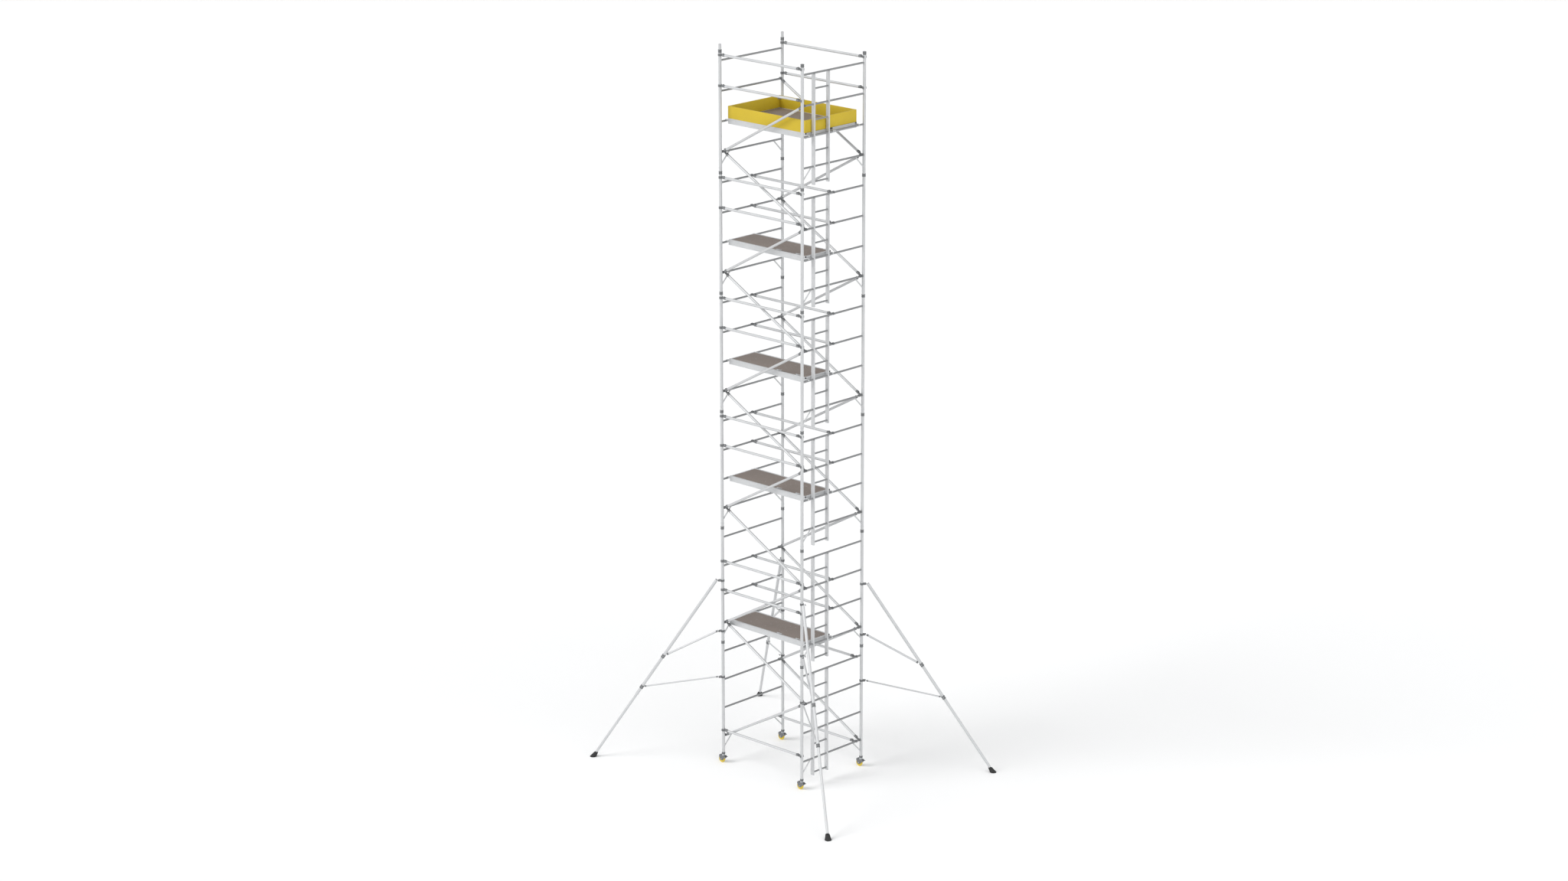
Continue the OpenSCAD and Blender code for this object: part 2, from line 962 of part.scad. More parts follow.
stabiliser_foot(2);  // stabiliser_foot_2
stabiliser_foot(3);  // stabiliser_foot_3
stabiliser_foot(4);  // stabiliser_foot_4
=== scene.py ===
import json
import math
import random

import bmesh
import bpy
from mathutils import Matrix, Vector


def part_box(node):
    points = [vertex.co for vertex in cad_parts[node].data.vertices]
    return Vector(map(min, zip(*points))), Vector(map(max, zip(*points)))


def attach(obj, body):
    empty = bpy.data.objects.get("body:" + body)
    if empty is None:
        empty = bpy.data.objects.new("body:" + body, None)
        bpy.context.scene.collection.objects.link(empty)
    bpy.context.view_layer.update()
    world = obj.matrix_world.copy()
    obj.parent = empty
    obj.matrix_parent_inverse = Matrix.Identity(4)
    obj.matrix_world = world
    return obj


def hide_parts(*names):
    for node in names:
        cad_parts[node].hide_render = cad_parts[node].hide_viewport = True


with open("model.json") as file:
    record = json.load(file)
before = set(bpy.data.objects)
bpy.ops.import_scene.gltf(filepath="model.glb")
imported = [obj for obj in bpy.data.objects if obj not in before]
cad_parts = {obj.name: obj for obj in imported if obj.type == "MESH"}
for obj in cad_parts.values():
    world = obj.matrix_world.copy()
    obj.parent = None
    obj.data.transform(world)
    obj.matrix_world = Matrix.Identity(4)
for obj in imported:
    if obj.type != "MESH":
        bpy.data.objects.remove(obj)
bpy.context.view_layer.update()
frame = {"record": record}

chance = random.Random(4)
joints = {joint["name"]: joint for joint in frame["record"]["behaviour"]["joints"]}


# Places that everything else is worked out from.

tower = {
    "lifts": 6,
    "rungsPerLift": 4,
    "rungPitch": 0.5,
    "firstLevelRung": 5,
    "hingeRise": 0.0514,  # from the rung that carries a platform up to its hatch hinge
    "columnRadius": 0.0254,
    "rungRadius": 0.016,
    "railRise": 0.09,
}
columns = [Vector(joints[f"castor_{i}_swivel"]["pos_m"]) for i in (1, 2, 3, 4)]
halfLength = abs(columns[0].x)
halfWidth = abs(columns[0].y)
columnRadius = tower["columnRadius"]
rungRadius = tower["rungRadius"]
levelZ = [joints[f"trapdoor_{i}_hinge"]["pos_m"][2] - tower["hingeRise"] for i in range(1, 6)]
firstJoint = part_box("span_frame_2")[0].z
liftHeight = tower["rungsPerLift"] * tower["rungPitch"]


def rungZ(number):
    return levelZ[0] + (number - tower["firstLevelRung"]) * tower["rungPitch"]


def jointZ(lift):
    return firstJoint + (lift - 1) * liftHeight


# Nodes and finishes.

class Signal:
    # A socket that can be added, subtracted and multiplied like a number.
    def __init__(self, shop, socket):
        self.shop = shop
        self.socket = socket

    def maths(self, operation, first, second):
        return self.shop.node("ShaderNodeMath", {"operation": operation}, {0: first, 1: second})

    def __add__(self, other):
        return self.maths("ADD", self, other)

    def __radd__(self, other):
        return self.maths("ADD", other, self)

    def __sub__(self, other):
        return self.maths("SUBTRACT", self, other)

    def __rsub__(self, other):
        return self.maths("SUBTRACT", other, self)

    def __mul__(self, other):
        return self.maths("MULTIPLY", self, other)

    def __rmul__(self, other):
        return self.maths("MULTIPLY", other, self)


class Shop:
    # A node tree with its last node, and the one method that makes every node.
    def __init__(self, owner, shader):
        owner.use_nodes = True
        self.tree = owner.node_tree
        self.shader = self.tree.nodes[shader]

    def node(self, kind, settings, values, output=0):
        made = self.tree.nodes.new(kind)
        for key, value in settings.items():
            if key == "stops":
                ramp = made.color_ramp
                while len(ramp.elements) < len(value):
                    ramp.elements.new(0.5)
                for element, (position, level) in zip(ramp.elements, value):
                    element.position = position
                    element.color = (level, level, level, 1)
            else:
                setattr(made, key, value)
        for key, value in values.items():
            if isinstance(value, Signal):
                self.tree.links.new(value.socket, made.inputs[key])
            else:
                made.inputs[key].default_value = value
        return Signal(self, made.outputs[output])

    def use(self, socket, signal):
        self.tree.links.new(signal.socket, self.shader.inputs[socket])


class Finish(Shop):
    # One material.
    def __init__(self, name, roughness=0.5, metallic=0.0, coat=0.0):
        self.material = bpy.data.materials.new(name)
        super().__init__(self.material, "Principled BSDF")
        self.shader.inputs["Roughness"].default_value = roughness
        self.shader.inputs["Metallic"].default_value = metallic
        self.shader.inputs["Coat Weight"].default_value = coat

    def place(self, scale, attribute=None):
        # Coordinates stretched by scale: the object's own, or those kept along each tube.
        if attribute:
            here = self.node("ShaderNodeAttribute", {"attribute_name": attribute}, {}, "Vector")
        else:
            here = self.node("ShaderNodeTexCoord", {}, {}, "Object")
        return self.node("ShaderNodeMapping", {}, {"Vector": here, "Scale": scale})

    def noise(self, where, scale, detail=3.0, roughness=0.55):
        values = {"Vector": where, "Scale": scale, "Detail": detail, "Roughness": roughness}
        return self.node("ShaderNodeTexNoise", {}, values, "Fac")

    def ramp(self, value, *stops):
        return self.node("ShaderNodeValToRGB", {"stops": stops}, {"Fac": value}, "Color")

    def mix(self, amount, first, second):
        # The colour sockets of a Mix node are its seventh and eighth, and its colour output the third.
        return self.node("ShaderNodeMix", {"data_type": "RGBA"}, {0: amount, 6: first, 7: second}, 2)

    def bump(self, height, strength, distance=0.001):
        values = {"Height": height, "Strength": strength, "Distance": distance}
        return self.node("ShaderNodeBump", {}, values)


def rgb(red, green, blue):
    return (red, green, blue, 1.0)


def makeAluminium(name, settings):
    # Extruded tube: long fine drawing lines, cloudy oxide, a few scuffs.
    finish = Finish(name, metallic=settings["metallic"])
    fine = finish.place((260, 260, 3.0), "grain")
    lines = finish.noise(fine, 1.0, 4.0)
    cloud = finish.noise(finish.place((1, 1, 1)), 6.0, 4.0)
    scuffs = finish.ramp(finish.noise(finish.place((30, 30, 9), "grain"), 2.2, 5.0), (0.6, 0), (0.68, 1))
    tone = finish.mix(cloud, settings["dark"], settings["light"])
    tone = finish.mix(lines * 0.35, tone, settings["line"])
    tone = finish.mix(scuffs * 0.25, tone, settings["scuff"])
    finish.use("Base Color", tone)
    finish.use("Roughness", settings["roughness"] + lines * 0.12 + scuffs * 0.12 + cloud * 0.06)
    finish.use("Normal", finish.bump(lines + scuffs * 0.4, 0.25, 0.0004))
    return finish.material


def makeCasting(name, settings):
    # Cast or pressed metal under a thin satin coat, rubbed lighter in patches.
    finish = Finish(name, metallic=settings["metallic"])
    here = finish.place((1, 1, 1))
    grit = finish.noise(here, 900.0, 2.0)
    cloud = finish.noise(here, 25.0, 4.0)
    worn = finish.ramp(finish.noise(here, 70.0, 6.0, 0.7), (0.62, 0), (0.7, 1))
    tone = finish.mix(cloud, settings["dark"], settings["light"])
    tone = finish.mix(worn * 0.45, tone, settings["worn"])
    finish.use("Base Color", tone)
    finish.use("Roughness", settings["roughness"] + grit * 0.14 + cloud * 0.08 - worn * 0.1)
    finish.use("Normal", finish.bump(grit * 0.6 + cloud, 0.35, 0.0005))
    return finish.material


def makeDeck(name, settings):
    # Film-faced board: a pressed wire-mesh grip, scuffed lighter where feet land.
    finish = Finish(name)
    here = finish.place((1, 1, 1))
    turned = finish.node("ShaderNodeMapping", {}, {
        "Vector": here, "Rotation": (0, 0, math.radians(45)), "Scale": (1, 1, 1)})
    waves = []
    for direction in ("X", "Y"):
        values = {"Vector": turned, "Scale": settings["mesh"], "Distortion": 0.0}
        waves.append(finish.node("ShaderNodeTexWave", {"bands_direction": direction}, values, "Fac"))
    mesh = finish.node("ShaderNodeMath", {"operation": "MAXIMUM"}, {0: waves[0], 1: waves[1]})
    cloud = finish.noise(here, 5.0, 6.0)
    speckle = finish.noise(here, 420.0, 3.0)
    scuffs = finish.ramp(finish.noise(finish.place((3, 14, 3)), 3.0, 6.0, 0.65), (0.55, 0), (0.72, 1))
    tone = finish.mix(cloud, settings["dark"], settings["light"])
    tone = finish.mix(speckle * 0.35, tone, settings["speckle"])
    tone = finish.mix(mesh * 0.22, tone, settings["grip"])
    tone = finish.mix(scuffs * 0.3, tone, settings["scuff"])
    finish.use("Base Color", tone)
    finish.use("Roughness", 0.55 + speckle * 0.15 + scuffs * 0.12)
    finish.use("Normal", finish.bump(mesh + speckle * 0.3, 0.5, 0.0008))
    return finish.material


def makePaint(name, settings):
    # Painted board: faint grain under the paint, chips and dull rub marks.
    finish = Finish(name, coat=settings["coat"])
    here = finish.place((1, 1, 1))
    grain = finish.noise(finish.place((4, 4, 60)), 3.0, 5.0, 0.6)
    cloud = finish.noise(here, 3.5, 5.0)
    chips = finish.ramp(finish.noise(here, 60.0, 8.0, 0.75), (0.69, 0), (0.71, 1))
    rubs = finish.ramp(finish.noise(finish.place((2, 2, 18)), 4.0, 5.0), (0.55, 0), (0.75, 1))
    tone = finish.mix(cloud, settings["dark"], settings["light"])
    tone = finish.mix(grain * 0.18, tone, settings["grain"])
    tone = finish.mix(rubs * 0.15, tone, settings["rub"])
    tone = finish.mix(chips * 0.6, tone, settings["chip"])
    finish.use("Base Color", tone)
    finish.use("Roughness", settings["roughness"] + rubs * 0.15 + chips * 0.2 + grain * 0.05)
    finish.use("Normal", finish.bump(grain - chips * 0.8, 0.3, 0.0008))
    return finish.material


def makeMoulded(name, settings):
    # Rubber or plastic: spark-eroded skin, dust in the hollows of the noise.
    finish = Finish(name, coat=settings["coat"])
    here = finish.place((1, 1, 1))
    skin = finish.noise(here, settings["skin"], 3.0)
    cloud = finish.noise(here, 14.0, 4.0)
    dust = finish.ramp(finish.noise(here, 40.0, 6.0, 0.7), (0.5, 0), (0.75, 1))
    tone = finish.mix(cloud, settings["dark"], settings["light"])
    tone = finish.mix(dust * settings["dustAmount"], tone, settings["dust"])
    finish.use("Base Color", tone)
    finish.use("Roughness", settings["roughness"] + skin * 0.15 + dust * 0.12)
    finish.use("Normal", finish.bump(skin + dust * 0.2, 0.35, 0.0004))
    return finish.material


aluminium = makeAluminium("drawn aluminium", {
    "metallic": 0.35, "roughness": 0.36, "dark": rgb(0.53, 0.54, 0.55), "light": rgb(0.65, 0.655, 0.66),
    "line": rgb(0.43, 0.44, 0.445), "scuff": rgb(0.4, 0.4, 0.4)})
# Rungs: the same drawn aluminium, with its dark, light and line tones set far darker as painted shade for
# rungs that face away from the light; the ribs and scuffs are real
ribbedAluminiumPaintedShade = makeAluminium("ribbed aluminium", {
    "metallic": 0.9, "roughness": 0.3, "dark": rgb(0.3, 0.305, 0.31), "light": rgb(0.42, 0.425, 0.43),
    "line": rgb(0.2, 0.2, 0.21), "scuff": rgb(0.55, 0.55, 0.55)})
weldMetal = makeCasting("weld bead", {
    "metallic": 0.6, "roughness": 0.4, "dark": rgb(0.5, 0.51, 0.52), "light": rgb(0.66, 0.67, 0.68),
    "worn": rgb(0.4, 0.4, 0.41)})
casting = makeCasting("grey casting", {
    "metallic": 0.25, "roughness": 0.42, "dark": rgb(0.13, 0.135, 0.14), "light": rgb(0.2, 0.205, 0.21),
    "worn": rgb(0.36, 0.36, 0.37)})
leverGrey = makeCasting("lever grey", {
    "metallic": 0.1, "roughness": 0.5, "dark": rgb(0.09, 0.092, 0.095), "light": rgb(0.13, 0.132, 0.135),
    "worn": rgb(0.24, 0.24, 0.24)})
zincSteel = makeCasting("zinc plated steel", {
    "metallic": 0.9, "roughness": 0.3, "dark": rgb(0.5, 0.52, 0.54), "light": rgb(0.66, 0.67, 0.68),
    "worn": rgb(0.42, 0.42, 0.4)})
deckFilm = makeDeck("brown deck film", {
    "mesh": 62.0, "dark": rgb(0.19, 0.155, 0.135), "light": rgb(0.25, 0.205, 0.18),
    "speckle": rgb(0.3, 0.26, 0.23), "grip": rgb(0.13, 0.1, 0.085), "scuff": rgb(0.32, 0.28, 0.25)})
yellowPaint = makePaint("yellow paint", {
    "coat": 0.05, "roughness": 0.6, "dark": rgb(0.54, 0.385, 0.012), "light": rgb(0.61, 0.45, 0.018),
    "grain": rgb(0.45, 0.32, 0.012), "rub": rgb(0.46, 0.35, 0.07), "chip": rgb(0.36, 0.28, 0.15)})
wheelYellow = makeMoulded("yellow wheel", {
    "coat": 0.1, "roughness": 0.4, "skin": 500.0,
    "dark": rgb(0.62, 0.46, 0.03), "light": rgb(0.74, 0.56, 0.05),
    "dust": rgb(0.45, 0.4, 0.28), "dustAmount": 0.25})
blackRubber = makeMoulded("black rubber", {
    "coat": 0.0, "roughness": 0.65, "skin": 320.0,
    "dark": rgb(0.012, 0.012, 0.013), "light": rgb(0.025, 0.025, 0.026),
    "dust": rgb(0.16, 0.15, 0.14), "dustAmount": 0.18})
blackPlastic = makeMoulded("black plastic", {
    "coat": 0.1, "roughness": 0.45, "skin": 700.0,
    "dark": rgb(0.02, 0.02, 0.021), "light": rgb(0.035, 0.035, 0.036),
    "dust": rgb(0.18, 0.18, 0.17), "dustAmount": 0.12})
print("finishes made")


# Shapes, each in its own coordinates.

stay = Matrix.Identity(4)
flip = Matrix.Scale(-1, 4, (1, 0, 0))
alongX = Matrix.Rotation(math.pi / 2, 4, "Y")
alongY = Matrix.Rotation(-math.pi / 2, 4, "X")


def keepShape(bm):
    grain = bm.verts.layers.float_vector.get("grain") or bm.verts.layers.float_vector.new("grain")
    for vert in bm.verts:
        vert[grain] = vert.co
    mesh = bpy.data.meshes.new("shape")
    bm.to_mesh(mesh)
    bm.free()
    return mesh


def soften(bm, edges, offset, segments=1):
    bmesh.ops.bevel(
        bm, geom=edges, offset=offset, segments=segments, profile=0.5, affect="EDGES", material=-1)


def bothHalves(half):
    # Completes an outline that is the same above and below Z = 0.
    return half + [(x, -z) for x, z in reversed(half)]


def rodShape(radius, length, sides=28, wall=0.0, ribs=0.0, chamfer=0.0):
    # A tube along +Z from the origin. Its ends are set in by the bore when wall is given.
    bm = bmesh.new()
    middle = Matrix.Translation((0, 0, length / 2))
    bmesh.ops.create_cone(
        bm, cap_ends=True, segments=sides, radius1=radius, radius2=radius, depth=length, matrix=middle)
    if ribs:
        for vert in bm.verts:
            if round(math.atan2(vert.co.y, vert.co.x) / math.tau * sides) % 2:
                vert.co.xy *= 1 - ribs
    caps = [face for face in bm.faces if len(face.verts) == sides]
    if chamfer:
        rims = [edge for cap in caps for edge in cap.edges]
        soften(bm, rims, chamfer)
        caps = [face for face in bm.faces if len(face.verts) == sides]
    if wall:
        for cap in caps:
            bmesh.ops.inset_region(bm, faces=[cap], thickness=wall, use_even_offset=True)
            sink = -0.04 if cap.calc_center_median().z > length / 2 else 0.04
            bmesh.ops.translate(bm, verts=cap.verts, vec=(0, 0, sink))
    return keepShape(bm)


def latheShape(outline, steps=32, close=True):
    # Turns an outline of (radius, height) points round Z.
    bm = bmesh.new()
    verts = [bm.verts.new((radius, 0, height)) for radius, height in outline]
    edges = [bm.edges.new(pair) for pair in zip(verts, verts[1:])]
    if close:
        edges.append(bm.edges.new((verts[-1], verts[0])))
    bmesh.ops.spin(
        bm, geom=verts + edges, cent=(0, 0, 0), axis=(0, 0, 1), angle=math.tau, steps=steps, use_merge=True)
    bmesh.ops.remove_doubles(bm, verts=bm.verts, dist=1e-6)
    bmesh.ops.recalc_face_normals(bm, faces=bm.faces)
    return keepShape(bm)


def arcShape(outline, angle, steps, bevel=0.0):
    # Turns a closed outline part of the way round Z, centred on +X, with both ends capped.
    bm = bmesh.new()
    verts = [bm.verts.new((radius, 0, height)) for radius, height in outline]
    bm.faces.new(verts)
    bmesh.ops.rotate(bm, verts=bm.verts, cent=(0, 0, 0), matrix=Matrix.Rotation(-angle / 2, 3, "Z"))
    edges = list(bm.edges)
    bm.faces.remove(bm.faces[:][0])
    bmesh.ops.spin(
        bm, geom=list(bm.verts) + edges, cent=(0, 0, 0), axis=(0, 0, 1), angle=angle, steps=steps)
    bmesh.ops.holes_fill(bm, edges=[edge for edge in bm.edges if edge.is_boundary], sides=0)
    bmesh.ops.recalc_face_normals(bm, faces=bm.faces)
    if bevel:
        sharp = [edge for edge in bm.edges if edge.is_manifold and edge.calc_face_angle() > math.radians(50)]
        soften(bm, sharp, bevel, 2)
    return keepShape(bm)


def outlineShape(outline, depth, bevel=0.0, segments=2):
    # Extrudes a closed outline in XZ by depth along Y, centred on Y = 0.
    bm = bmesh.new()
    face = bm.faces.new([bm.verts.new((x, -depth / 2, z)) for x, z in outline])
    pushed = bmesh.ops.extrude_face_region(bm, geom=[face], use_keep_orig=True)
    far = [item for item in pushed["geom"] if isinstance(item, bmesh.types.BMVert)]
    bmesh.ops.translate(bm, verts=far, vec=(0, depth, 0))
    bmesh.ops.recalc_face_normals(bm, faces=bm.faces)
    if bevel:
        sharp = [edge for edge in bm.edges if edge.calc_face_angle() > math.radians(25)]
        soften(bm, sharp, bevel, segments)
    return keepShape(bm)


def blockShape(size, bevel=0.0, segments=2):
    # A box with softened edges, centred on the origin.
    bm = bmesh.new()
    bmesh.ops.create_cube(bm, size=1)
    bmesh.ops.scale(bm, vec=size, verts=bm.verts)
    if bevel:
        soften(bm, list(bm.edges), bevel, segments)
    return keepShape(bm)


def domeShape(radius, height, sides=12):
    # A rivet or bolt head standing on Z = 0.
    ring = [(radius * math.cos(math.radians(a)), height * math.sin(math.radians(a))) for a in (0, 35, 65)]
    return latheShape([(0, -0.001), (radius, -0.001)] + ring + [(0, height)], sides, close=False)


def hexShape(radius, height):
    return rodShape(radius, height, sides=6, chamfer=height * 0.12)


def beadShape(radius, thickness, pipeRadius=0.0, steps=30):
    # A rippled weld round a tube that stands on a pipe lying along X. The weld follows the pipe's curve.
    bm = bmesh.new()
    made = bmesh.ops.create_circle(bm, segments=5, radius=thickness)
    bmesh.ops.rotate(bm, verts=made["verts"], cent=(0, 0, 0), matrix=Matrix.Rotation(math.pi / 2, 3, "X"))
    bmesh.ops.translate(bm, verts=made["verts"], vec=(radius, 0, 0))
    bmesh.ops.spin(
        bm, geom=list(bm.verts) + list(bm.edges), cent=(0, 0, 0), axis=(0, 0, 1), angle=math.tau,
        steps=steps, use_merge=True)
    for vert in bm.verts:
        turn = round(math.atan2(vert.co.y, vert.co.x) / math.tau * steps)
        if turn % 2:
            vert.co.xy *= 1 - 0.12 * thickness / radius
        if pipeRadius:
            across = min(abs(vert.co.y), pipeRadius)
            vert.co.z -= pipeRadius - math.sqrt(pipeRadius ** 2 - across ** 2)
    bmesh.ops.recalc_face_normals(bm, faces=bm.faces)
    return keepShape(bm)


def joinShapes(*parts):
    bm = bmesh.new()
    for shape, matrix in parts:
        count = len(bm.verts)
        bm.from_mesh(shape)
        bm.verts.ensure_lookup_table()
        bmesh.ops.transform(bm, matrix=matrix, verts=bm.verts[count:])
    return keepShape(bm)


def along(origin, direction):
    # Puts a shape's +Z along a direction.
    turn = Vector(direction).to_track_quat("Z", "Y").to_matrix().to_4x4()
    return Matrix.Translation(origin) @ turn


def at(x, y, z, turn=0.0):
    return Matrix.Translation((x, y, z)) @ Matrix.Rotation(turn, 4, "Z")


class Bench:
    # Collects shapes into one piece.
    def __init__(self, name):
        self.name = name
        self.bm = bmesh.new()
        self.grain = self.bm.verts.layers.float_vector.new("grain")
        self.finishes = []

    def add(self, shape, matrix, finish):
        if finish not in self.finishes:
            self.finishes.append(finish)
        count, faces = len(self.bm.verts), len(self.bm.faces)
        self.bm.from_mesh(shape)
        self.bm.verts.ensure_lookup_table()
        self.bm.faces.ensure_lookup_table()
        fresh = self.bm.verts[count:]
        shift = Vector((0, 0, chance.uniform(0, 9)))
        for vert in fresh:
            vert[self.grain] = vert[self.grain] + shift
        for face in self.bm.faces[faces:]:
            face.material_index = self.finishes.index(finish)
        bmesh.ops.transform(self.bm, matrix=matrix, verts=fresh)
        if matrix.determinant() < 0:
            bmesh.ops.reverse_faces(self.bm, faces=self.bm.faces[faces:])

    def rod(self, start, end, radius, finish, **extra):
        start, end = Vector(start), Vector(end)
        shape = rodShape(radius, (end - start).length, **extra)
        self.add(shape, along(start, end - start), finish)
        bpy.data.meshes.remove(shape)

    def done(self, body, node, slot):
        mesh = bpy.data.meshes.new(self.name)
        for face in self.bm.faces:
            face.smooth = True
        self.bm.to_mesh(mesh)
        self.bm.free()
        mesh.set_sharp_from_angle(angle=math.radians(32))
        for finish in self.finishes:
            mesh.materials.append(finish)
        piece = bpy.data.objects.new(self.name, mesh)
        bpy.context.scene.collection.objects.link(piece)
        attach(piece, body)
        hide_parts(node)


# End frames, with and without a ladder.

frameLook = {
    "columnSides": 32, "rungSides": 40, "ribDepth": 0.055, "weld": 0.0032,
    "strutRadius": 0.011, "strutTop": 0.512, "wall": 0.002,
    "stileWidth": 0.028, "stileY": (-0.453, -0.116), "stileDrop": 0.3, "ladderRungRadius": 0.014,
    "spigotRadius": 0.0229, "spigotOut": 0.099,
}
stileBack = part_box("ladder_frame_1")[0].x
stileDepth = halfLength + 0.02 - stileBack
rungWeld = beadShape(rungRadius, frameLook["weld"], columnRadius)
strutWeld = beadShape(frameLook["strutRadius"], frameLook["weld"] * 0.8)
stileWeld = beadShape(rungRadius, frameLook["weld"] * 0.9)
ladderWeld = beadShape(frameLook["ladderRungRadius"], frameLook["weld"] * 0.8)


def addColumns(bench, lift, x, spigots):
    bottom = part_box("span_frame_1")[0].z if lift == 1 else jointZ(lift - 1)
    for y in (-halfWidth, halfWidth):
        bench.rod((x, y, bottom), (x, y, jointZ(lift)), columnRadius, aluminium,
                  sides=frameLook["columnSides"], wall=frameLook["wall"])
        if spigots:
            bench.rod((x, y, jointZ(lift) - 0.03), (x, y, jointZ(lift) + frameLook["spigotOut"]),
                      frameLook["spigotRadius"], aluminium, sides=28, wall=0.003, chamfer=0.002)


def addRungs(bench, lift, x):
    first = tower["rungsPerLift"] * (lift - 1) + 1
    reach = halfWidth - columnRadius * 0.9
    for number in range(first, first + tower["rungsPerLift"]):
        z = rungZ(number)
        bench.rod((x, -reach, z), (x, reach, z), rungRadius, ribbedAluminiumPaintedShade,
                  sides=frameLook["rungSides"], ribs=frameLook["ribDepth"])
        for side in (-1, 1):
            spot = Matrix.Translation((x, side * (halfWidth - columnRadius), z))
            bench.add(rungWeld, spot @ saddleTurn(side), weldMetal)


def saddleTurn(side):
    # Local Z points from the column towards the frame's middle, and local X up the column.
    towards = Vector((0, -side, 0))
    up = Vector((0, 0, 1))
    third = towards.cross(up)
    return Matrix((up, third, towards)).transposed().to_4x4()


def addStruts(bench, lift, x):
    z = rungZ(tower["rungsPerLift"] * (lift - 1) + 1)
    drop = halfWidth - frameLook["strutTop"]
    for side in (-1, 1):
        low = Vector((x, side * halfWidth, z - drop))
        high = Vector((x, side * frameLook["strutTop"], z))
        slope = (high - low).normalized()
        start = low + slope * (columnRadius * 1.25)
        end = high - slope * (rungRadius * 0.9)
        bench.rod(start, end, frameLook["strutRadius"], aluminium, sides=20)
        bench.add(strutWeld, along(start + slope * 0.008, slope), weldMetal)
        bench.add(strutWeld, along(end - slope * 0.001, slope), weldMetal)


def addLadder(bench, lift):
    first = tower["rungsPerLift"] * (lift - 1) + 1
    bottom = rungZ(first) - frameLook["stileDrop"]
    top = rungZ(first + tower["rungsPerLift"] - 1) - rungRadius
    width = frameLook["stileWidth"]
    stile = stileShape(stileDepth, width, top - bottom)
    for y in frameLook["stileY"]:
        bench.add(stile, at(stileBack + stileDepth / 2, y, bottom), aluminium)
        for number in range(first, first + tower["rungsPerLift"] - 1):
            for side in (-1, 1):
                spot = Vector((halfLength, y + side * width / 2, rungZ(number)))
                bench.add(stileWeld, along(spot, (0, side, 0)), weldMetal)
    inner = [frameLook["stileY"][0] + width / 2, frameLook["stileY"][1] - width / 2]
    for step in range(tower["rungsPerLift"]):
        z = rungZ(first) + (step - 0.5) * tower["rungPitch"]
        bench.rod((halfLength, inner[0] - 0.001, z), (halfLength, inner[1] + 0.001, z),
                  frameLook["ladderRungRadius"], ribbedAluminiumPaintedShade, sides=36, ribs=frameLook["ribDepth"])
        for y, side in zip(inner, (1, -1)):
            bench.add(ladderWeld, along((halfLength, y, z), (0, side, 0)), weldMetal)
    bpy.data.meshes.remove(stile)


def stileShape(depth, width, length):
    # A flat-oval box tube, hollow at both ends, with a shallow groove down each broad face.
    bm = bmesh.new()
    bmesh.ops.create_cube(bm, size=1)
    bmesh.ops.scale(bm, vec=(depth, width, length), verts=bm.verts)
    bmesh.ops.translate(bm, vec=(0, 0, length / 2), verts=bm.verts)
    uprights = [edge for edge in bm.edges if abs(edge.verts[0].co.z - edge.verts[1].co.z) > length / 2]
    soften(bm, uprights, 0.005, 3)
    for face in [face for face in bm.faces if abs(face.normal.y) > 0.99]:
        bmesh.ops.inset_region(bm, faces=[face], thickness=0.012, depth=-0.0012, use_even_offset=True)
    ends = [face for face in bm.faces if abs(face.normal.z) > 0.99 and len(face.verts) > 8]
    for face in ends:
        bmesh.ops.inset_region(bm, faces=[face], thickness=frameLook["wall"], use_even_offset=True)
        sink = -0.05 if face.calc_center_median().z > length / 2 else 0.05
        bmesh.ops.translate(bm, verts=face.verts, vec=(0, 0, sink))
    return keepShape(bm)


for lift in range(1, tower["lifts"] + 1):
    ladderBench = Bench(f"ladder_frame_look_{lift}")
    addColumns(ladderBench, lift, halfLength, lift < tower["lifts"])
    addRungs(ladderBench, lift, halfLength)
    addStruts(ladderBench, lift, halfLength)
    addLadder(ladderBench, lift)
    ladderBench.done("tower", f"ladder_frame_{lift}", slot="frame_aluminium")
    spanBench = Bench(f"span_frame_look_{lift}")
    addColumns(spanBench, lift, -halfLength, True)
    addRungs(spanBench, lift, -halfLength)
    addStruts(spanBench, lift, -halfLength)
    spanBench.done("tower", f"span_frame_{lift}", slot="frame_aluminium")
print("end frames made")


# Collars, caps and clips at the joints.

collarLook = {
    "height": 0.050, "radius": 0.030, "edge": 0.002, "lip": 0.011, "waist": 0.0016, "steps": 40,
    "capThickness": 0.009, "screwRises": (0.3, 0.7),
}
clipLook = {
    "rise": 0.080, "height": 0.012, "thickness": 0.002, "reach": 240,
    "pin": 0.004, "pinLength": 0.012, "pinIn": 0.008, "curl": 0.0025,
}


def collarShape(closed):
    look = collarLook
    r, h, edge, lip, waist = look["radius"], look["height"], look["edge"], look["lip"], look["waist"]
    bore = columnRadius + 0.0001
    side = [
        (bore, 0), (r - edge, 0), (r, edge), (r, lip), (r - waist, lip + waist),
        (r - waist, h - lip - waist), (r, h - lip), (r, h - edge), (r - edge, h)]
    if closed:
        floor = h - look["capThickness"]
        side = [(0, floor), (bore, floor)] + side + [(r * 0.5, h), (0, h)]
        return latheShape(side, look["steps"], False)
    return latheShape(side + [(bore, h)], look["steps"])


def clipShape():
    look = clipLook
    inner, outer, half = columnRadius + 0.0002, columnRadius + look["thickness"], look["height"] / 2
    outline = [(inner, -half), (outer, -half), (outer, half), (inner, half)]
    band = arcShape(outline, math.radians(look["reach"]), 24, 0.0004)
    pin = rodShape(look["pin"], look["pinLength"], 16, chamfer=0.0012)
    curl = rodShape(look["curl"], look["height"], 10, chamfer=0.0005)
    parts = [(band, stay), (pin, Matrix.Translation((outer - look["pinIn"], 0, 0)) @ alongX)]
    for side in (-1, 1):
        end = math.radians(side * look["reach"] / 2)
        spot = Vector((math.cos(end), math.sin(end), 0)) * (inner + 0.0015)
        parts.append((curl, Matrix.Translation(spot + Vector((0, 0, -half)))))
    return joinShapes(*parts)


